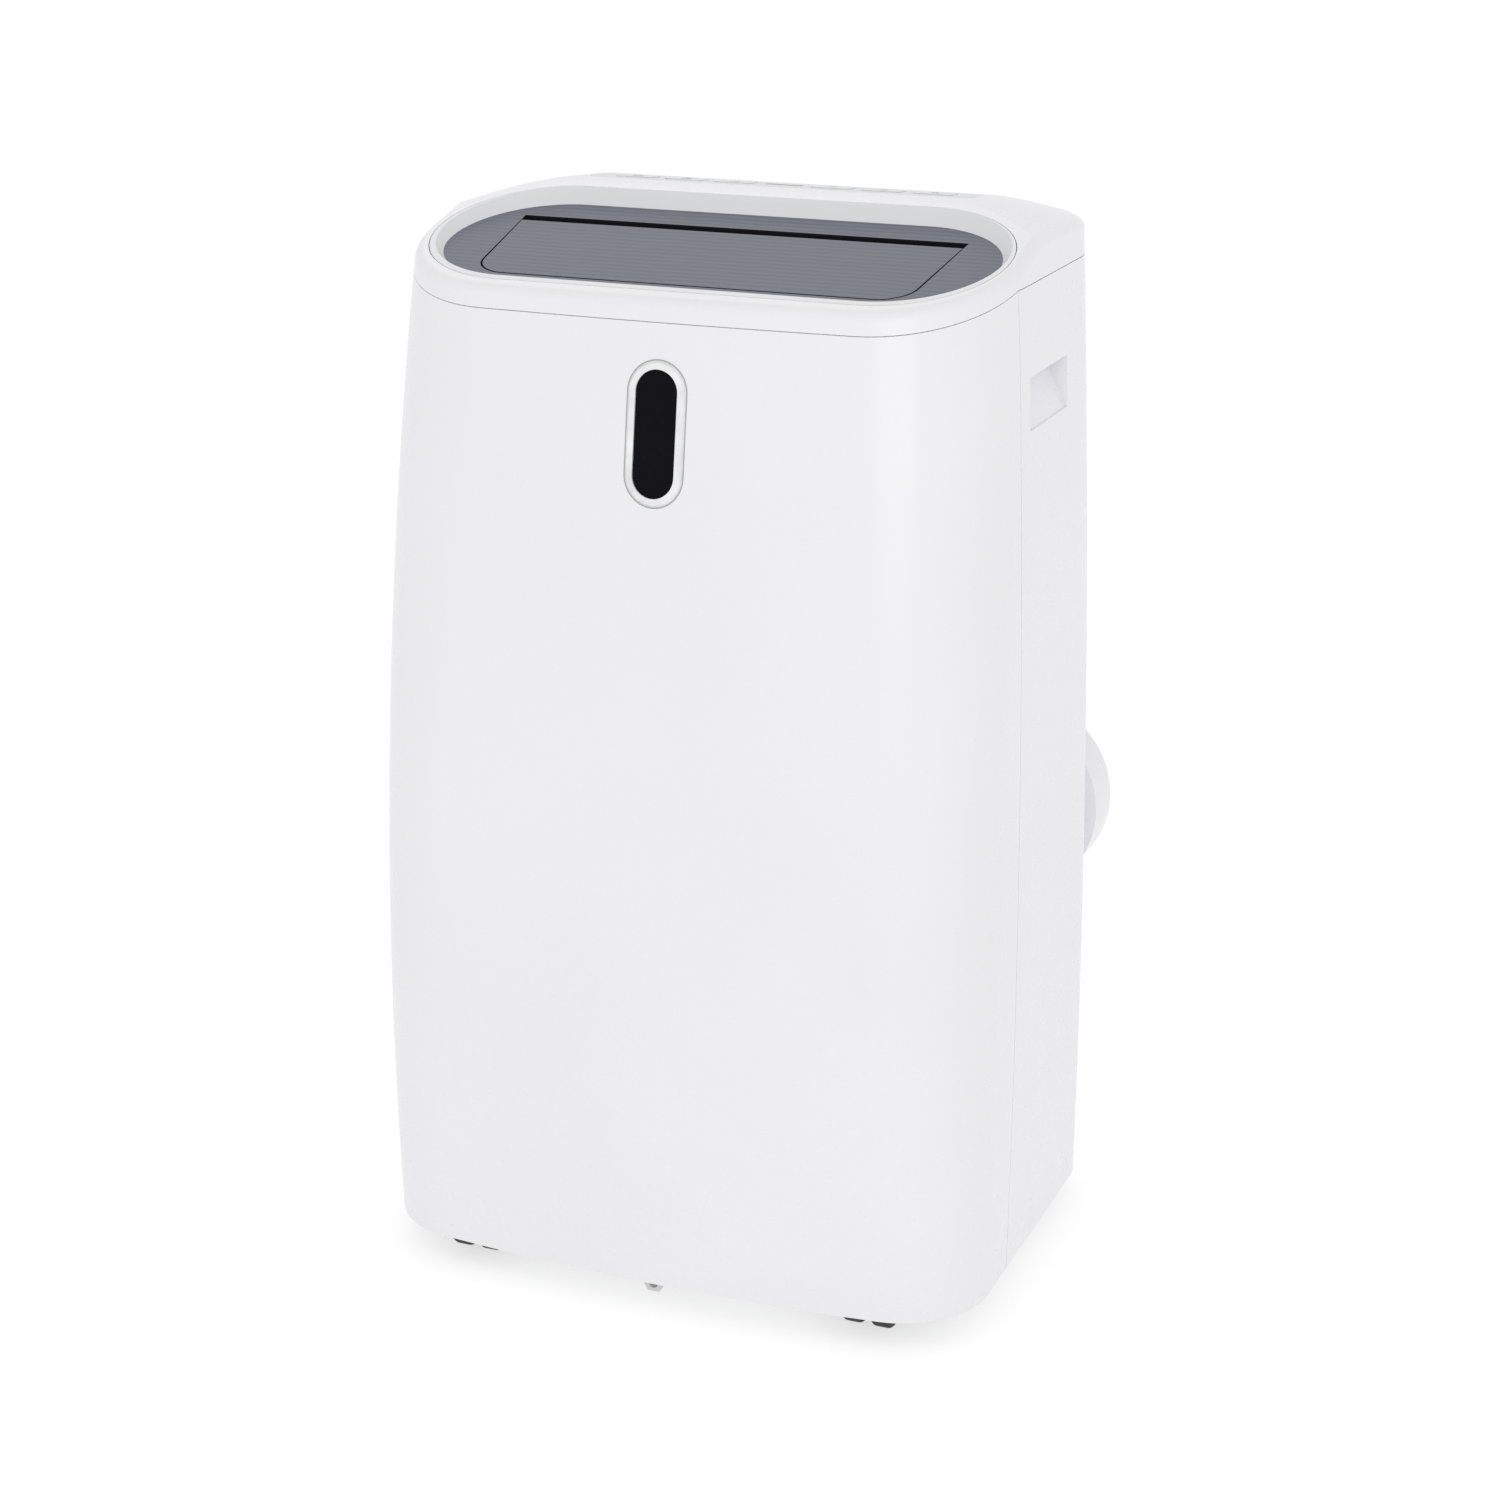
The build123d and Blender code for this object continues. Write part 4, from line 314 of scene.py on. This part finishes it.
WHITE = (0.856, 0.852, 0.886)
MATERIALS = {
    "cabinet_white": gloss_white("cabinet_white", WHITE),
    "ring_white": moulded("ring_white", (0.8, 0.805, 0.82), 0.4),
    # The deck's near-black second colour is painted shade for its edges and underside.
    "deck_grey": lined("deck_grey", (0.144, 0.156, 0.192), (0.012, 0.012, 0.014), 0.42),
    "inner_dark": moulded("inner_dark", (0.022, 0.022, 0.024), 0.5),
    "inner_white": moulded("inner_white", (0.7, 0.7, 0.69), 0.6, mottle=0.03),
    "bezel_silver": metal("bezel_silver", (0.83, 0.83, 0.85), 0.34, metallic=0.1),
    "lens_black": lens("lens_black", (0.0033, 0.0031, 0.0058)),
    "board_green": circuit("board_green", (0.02, 0.13, 0.06)),
    "control_grey": moulded("control_grey", (0.77, 0.775, 0.785), 0.45),
    "button_grey": moulded("button_grey", (0.77, 0.775, 0.785), 0.42),
    "base_grey": moulded("base_grey", (0.5, 0.505, 0.51), 0.55, mottle=0.03),
    "catch_grey": moulded("catch_grey", (0.62, 0.62, 0.61), 0.5, mottle=0.03),
    "coil_aluminium": finned("coil_aluminium", (0.75, 0.77, 0.78)),
    "mesh_grey": moulded("mesh_grey", (0.08, 0.082, 0.088), 0.6),
    "compressor_black": moulded("compressor_black", (0.018, 0.018, 0.018), 0.38, grain=0.002, depth=0.00004),
    "rubber_black": rubber("rubber_black", (0.02, 0.02, 0.02)),
    "screw_steel": metal("screw_steel", (0.6, 0.6, 0.6), 0.32),
    "motor_steel": metal("motor_steel", (0.52, 0.53, 0.54), 0.38),
    "pipe_copper": metal("pipe_copper", (0.72, 0.4, 0.26), 0.3),
    "box_grey": moulded("box_grey", (0.4, 0.41, 0.42), 0.5),
    "fan_grey": moulded("fan_grey", (0.3, 0.31, 0.32), 0.5),
    "caster_black": moulded("caster_black", (0.018, 0.018, 0.02), 0.4),
    "wheel_black": rubber("wheel_black", (0.022, 0.022, 0.024)),
}


def dress_nodes():
    """Give every carried-over node its slot's material."""
    for row in frame["record"]["subparts"]:
        node = frame["nodes"][row["node"]]
        node.data.materials.clear()
        node.data.materials.append(MATERIALS[row["material_slot"]])


# Small details, drawn as strokes that lie on the surfaces which carry them

def arc(radius, start, end, count=ARC_POINTS):
    """Points along an arc, with angles in degrees clockwise from the top."""
    turns = [math.radians(start + (end - start) * i / count) for i in range(count + 1)]
    return [(radius * math.sin(turn), radius * math.cos(turn)) for turn in turns]


def ring(radius):
    """Points round a full circle, the first not repeated."""
    return arc(radius, 0, 360)[:-1]


def stroke_sides(points, width, closed):
    """The two edges of a stroke along a run of points."""
    last = len(points) - 1
    edges = []
    for i, (u, v) in enumerate(points):
        before = points[i - 1] if closed or i else points[0]
        after = points[(i + 1) % len(points)] if closed or i < last else points[last]
        run = Vector((after[0] - before[0], after[1] - before[1])).normalized() * (width / 2)
        edges.append(((u - run.y, v + run.x), (u + run.y, v - run.x)))
    return edges


def add_stroke(verts, faces, points, width, place, high, closed=False):
    """A raised stroke: place turns its two surface numbers and a height into a point of the frame."""
    first = len(verts)
    for left, right in stroke_sides(points, width, closed):
        for side, height in ((left, high), (right, high), (right, -SEAT_DEPTH), (left, -SEAT_DEPTH)):
            verts.append(place(*side, height))
    count = len(points)
    for i in range(count if closed else count - 1):
        here, there = first + 4 * i, first + 4 * ((i + 1) % count)
        for a, b in ((0, 1), (1, 2), (2, 3), (3, 0)):
            faces.append((here + a, there + a, there + b, here + b))
    if not closed:
        end = first + 4 * (count - 1)
        faces.append(tuple(first + a for a in (0, 1, 2, 3)))
        faces.append(tuple(end + a for a in (3, 2, 1, 0)))


def make_piece(name, verts, faces, body, slot):
    """A small detail as one mesh, riding on a body and finished like a slot."""
    mesh = bpy.data.meshes.new(name)
    mesh.from_pydata(verts, [], faces)
    mesh.materials.append(MATERIALS[slot])
    piece = bpy.data.objects.new(name, mesh)
    bpy.context.scene.collection.objects.link(piece)
    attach(piece, body)


def surface_of(node):
    """A node's surface, for dropping points onto it."""
    mesh = frame["nodes"][node].data
    return BVHTree.FromPolygons([v.co for v in mesh.vertices], [p.vertices for p in mesh.polygons])


def above(surface, across, along):
    """Places strokes on a surface that is seen from above, about a middle point."""
    def place(u, v, height):
        x, y = across + u, along + v
        hit = surface.ray_cast(Vector((x, y, 1)), Vector((0, 0, -1)))[0]
        return (x, y, hit.z + height)
    return place


def in_front(surface):
    """Places strokes on a surface that is seen from the front."""
    def place(u, v, height):
        hit = surface.ray_cast(Vector((u, -1, v)), Vector((0, 1, 0)))[0]
        return (u, hit.y - height, v)
    return place


def upright_at(depth, across=0.0, up=0.0):
    """Places strokes in a flat upright plane that is seen from behind, about a middle point."""
    def place(u, v, height):
        return (across + u, depth + height, up + v)
    return place


def symbol_strokes(radius):
    """A plain symbol for each button, from left to right: its open runs of points, and its closed ones."""
    low = -0.85 * radius
    power = [arc(radius, 40, 320), [(0, 0.2 * radius), (0, 1.2 * radius)]]
    clock = [[(0, 0), (0, 0.62 * radius)], [(0, 0), (0.5 * radius, 0)]]
    bars = [(-0.75 * radius, -0.3 * radius), (0, 0.25 * radius), (0.75 * radius, 0.8 * radius)]
    speed = [[(across, low), (across, top)] for across, top in bars]
    level = [(-radius, 0), (radius, 0)]
    upright = [(0, -radius), (0, radius)]
    frost = [[(-u, -v), (u, v)] for u, v in arc(radius, 0, 120, count=2)]
    left_group = [(power, []), (clock, [ring(radius)]), (speed, [])]
    right_group = [([level], []), ([level, upright], []), (frost, [])]
    return left_group + right_group


def make_symbols():
    """Printed symbols on the buttons, raised by the thickness of the ink."""
    for number, (runs, loops) in enumerate(symbol_strokes(SYMBOL_RADIUS), 1):
        button = f"button_{number}"
        low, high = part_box(button)
        place = above(surface_of(button), (low[0] + high[0]) / 2, (low[1] + high[1]) / 2)
        verts, faces = [], []
        for points in runs:
            add_stroke(verts, faces, points, SYMBOL_LINE, place, SYMBOL_PROUD)
        for points in loops:
            add_stroke(verts, faces, points, SYMBOL_LINE, place, SYMBOL_PROUD, closed=True)
        make_piece(f"symbol_{number}", verts, faces, button, "fan_grey")


def make_bezel_gap_shade():
    """Painted shade: a thin dark ring round the display bezel, lying on the front panel, for the shadowed
    gap between bezel and panel.
    """
    low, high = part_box("display_bezel")
    reach = GAP_SHADE_OFFSET + GAP_SHADE_WIDTH / 2
    side = (high[0] - low[0]) / 2 + reach
    straight = (high[2] - low[2]) / 2 + reach - side
    middle = (low[2] + high[2]) / 2
    steps = [straight * (1 - 2 * i / GAP_SHADE_STEPS) for i in range(1, GAP_SHADE_STEPS)]
    points = [(u, middle + straight + v) for u, v in arc(side, -90, 90)]
    points += [(side, middle + step) for step in steps]
    points += [(u, middle - straight + v) for u, v in arc(side, 90, 270)]
    points += [(-side, middle - step) for step in steps]
    place = in_front(surface_of("front_panel"))
    verts, faces = [], []
    add_stroke(verts, faces, points, GAP_SHADE_WIDTH, place, GAP_SHADE_PROUD, closed=True)
    make_piece("bezel_gap_shade", verts, faces, "cabinet", "box_grey")


def make_net():
    """Fine net between the ribs of the filter's mesh, its strands let into the border."""
    low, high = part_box("filter_mesh")
    left, right = low[0] + NET_BORDER, high[0] - NET_BORDER
    bottom, top = low[2] + NET_BORDER, high[2] - NET_BORDER
    place = upright_at((low[1] + high[1]) / 2)
    verts, faces = [], []
    for i in range(1, int((right - left) / NET_PITCH)):
        x = left + i * NET_PITCH
        add_stroke(verts, faces, [(x, bottom), (x, top)], NET_STRAND, place, NET_STRAND / 2)
    for i in range(1, int((top - bottom) / NET_PITCH)):
        z = bottom + i * NET_PITCH
        add_stroke(verts, faces, [(left, z), (right, z)], NET_STRAND, place, NET_STRAND / 4)
    make_piece("filter_net", verts, faces, "filter", "mesh_grey")


def make_screw_slot_shade():
    """Painted shade of the cross slots in the heads of the rear wall's screws: dark strokes standing a hair
    proud, where the slots fall into shadow.
    """
    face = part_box("fasteners")[1][1]
    half = SCREW_SLOT / 2
    cross = ([(-half, 0), (half, 0)], [(0, -half), (0, half)])
    verts, faces = [], []
    for x in (-SCREW_SIDE, SCREW_SIDE):
        for z in SCREW_HEIGHTS:
            for points in cross:
                add_stroke(verts, faces, points, SCREW_SLOT_WIDTH, upright_at(face, x, z), SCREW_SLOT_PROUD)
    make_piece("screw_slot_shade", verts, faces, "cabinet", "inner_dark")


# Stage, light and camera

def seen_strength(tree, lighting, seen):
    """One strength for light on the object, and one for camera, glossy and transmission rays."""
    path = tree.nodes.new("ShaderNodeLightPath")
    direct = path.outputs["Is Camera Ray"]
    for ray in ("Is Glossy Ray", "Is Transmission Ray"):
        either = tree.nodes.new("ShaderNodeMath")
        either.operation = "MAXIMUM"
        tree.links.new(direct, either.inputs[0])
        tree.links.new(path.outputs[ray], either.inputs[1])
        direct = either.outputs[0]
    strength = tree.nodes.new("ShaderNodeMix")
    strength.data_type = "FLOAT"
    strength.inputs[NUMBER_FIRST].default_value = lighting
    strength.inputs[NUMBER_SECOND].default_value = seen
    tree.links.new(direct, strength.inputs["Factor"])
    return strength.outputs[NUMBER_RESULT]


def make_floor():
    """Pale floor: white to the camera, with the object's soft shadow on it."""
    mesh = bpy.data.meshes.new("floor")
    corners = [(-1, -1), (1, -1), (1, 1), (-1, 1)]
    mesh.from_pydata([(x * FLOOR_HALF, y * FLOOR_HALF, 0) for x, y in corners], [], [(0, 1, 2, 3)])
    floor = bpy.data.objects.new("floor", mesh)
    bpy.context.scene.collection.objects.link(floor)
    material = bpy.data.materials.new("floor_white")
    # The even glow is left to the rays that meet the floor, which leaves less grain than aiming at it
    material.cycles.emission_sampling = "NONE"
    material.use_nodes = True
    tree = material.node_tree
    tree.nodes.clear()
    output = tree.nodes.new("ShaderNodeOutputMaterial")
    diffuse = tree.nodes.new("ShaderNodeBsdfDiffuse")
    diffuse.inputs["Color"].default_value = (FLOOR_SHADE, FLOOR_SHADE, FLOOR_SHADE, 1)
    glow = tree.nodes.new("ShaderNodeEmission")
    tree.links.new(seen_strength(tree, FLOOR_GLOW, FLOOR_GLOW_SEEN), glow.inputs["Strength"])
    total = tree.nodes.new("ShaderNodeAddShader")
    tree.links.new(diffuse.outputs["BSDF"], total.inputs[0])
    tree.links.new(glow.outputs["Emission"], total.inputs[1])
    tree.links.new(total.outputs["Shader"], output.inputs["Surface"])
    floor.data.materials.append(material)


def make_world():
    """White room light, shown as pure white where it is seen directly."""
    world = bpy.data.worlds.new("studio")
    bpy.context.scene.world = world
    world.use_nodes = True
    tree = world.node_tree
    background = tree.nodes["Background"]
    background.inputs["Color"].default_value = (1, 1, 1, 1)
    tree.links.new(seen_strength(tree, WORLD_STRENGTH, 1.0), background.inputs["Strength"])


def make_softbox(name, place, target, size, power):
    """Square soft light at a place, turned to a target."""
    light = bpy.data.lights.new(name, "AREA")
    light.shape = "SQUARE"
    light.size = size
    light.energy = power
    lamp = bpy.data.objects.new(name, light)
    lamp.location = place
    lamp.rotation_euler = (Vector(target) - Vector(place)).to_track_quat("-Z", "Y").to_euler()
    bpy.context.scene.collection.objects.link(lamp)


def make_camera():
    """Camera at the photograph's viewing angle."""
    data = bpy.data.cameras.new("camera")
    data.sensor_width = SENSOR_WIDTH
    data.lens = FOCAL_PIXELS / FRAME_PIXELS * SENSOR_WIDTH
    camera = bpy.data.objects.new("camera", data)
    camera.location = CAMERA_PLACE
    camera.rotation_euler = (math.radians(90 - CAMERA_ELEVATION), 0, math.radians(CAMERA_AZIMUTH))
    bpy.context.scene.collection.objects.link(camera)
    bpy.context.scene.camera = camera


dress_nodes()
make_symbols()
make_bezel_gap_shade()
make_net()
make_screw_slot_shade()
make_floor()
make_world()
make_softbox("key", KEY_PLACE, KEY_TARGET, KEY_SIZE, KEY_POWER)
make_softbox("rim", RIM_PLACE, RIM_TARGET, RIM_SIZE, RIM_POWER)
make_camera()
bpy.context.scene.view_settings.view_transform = "Standard"
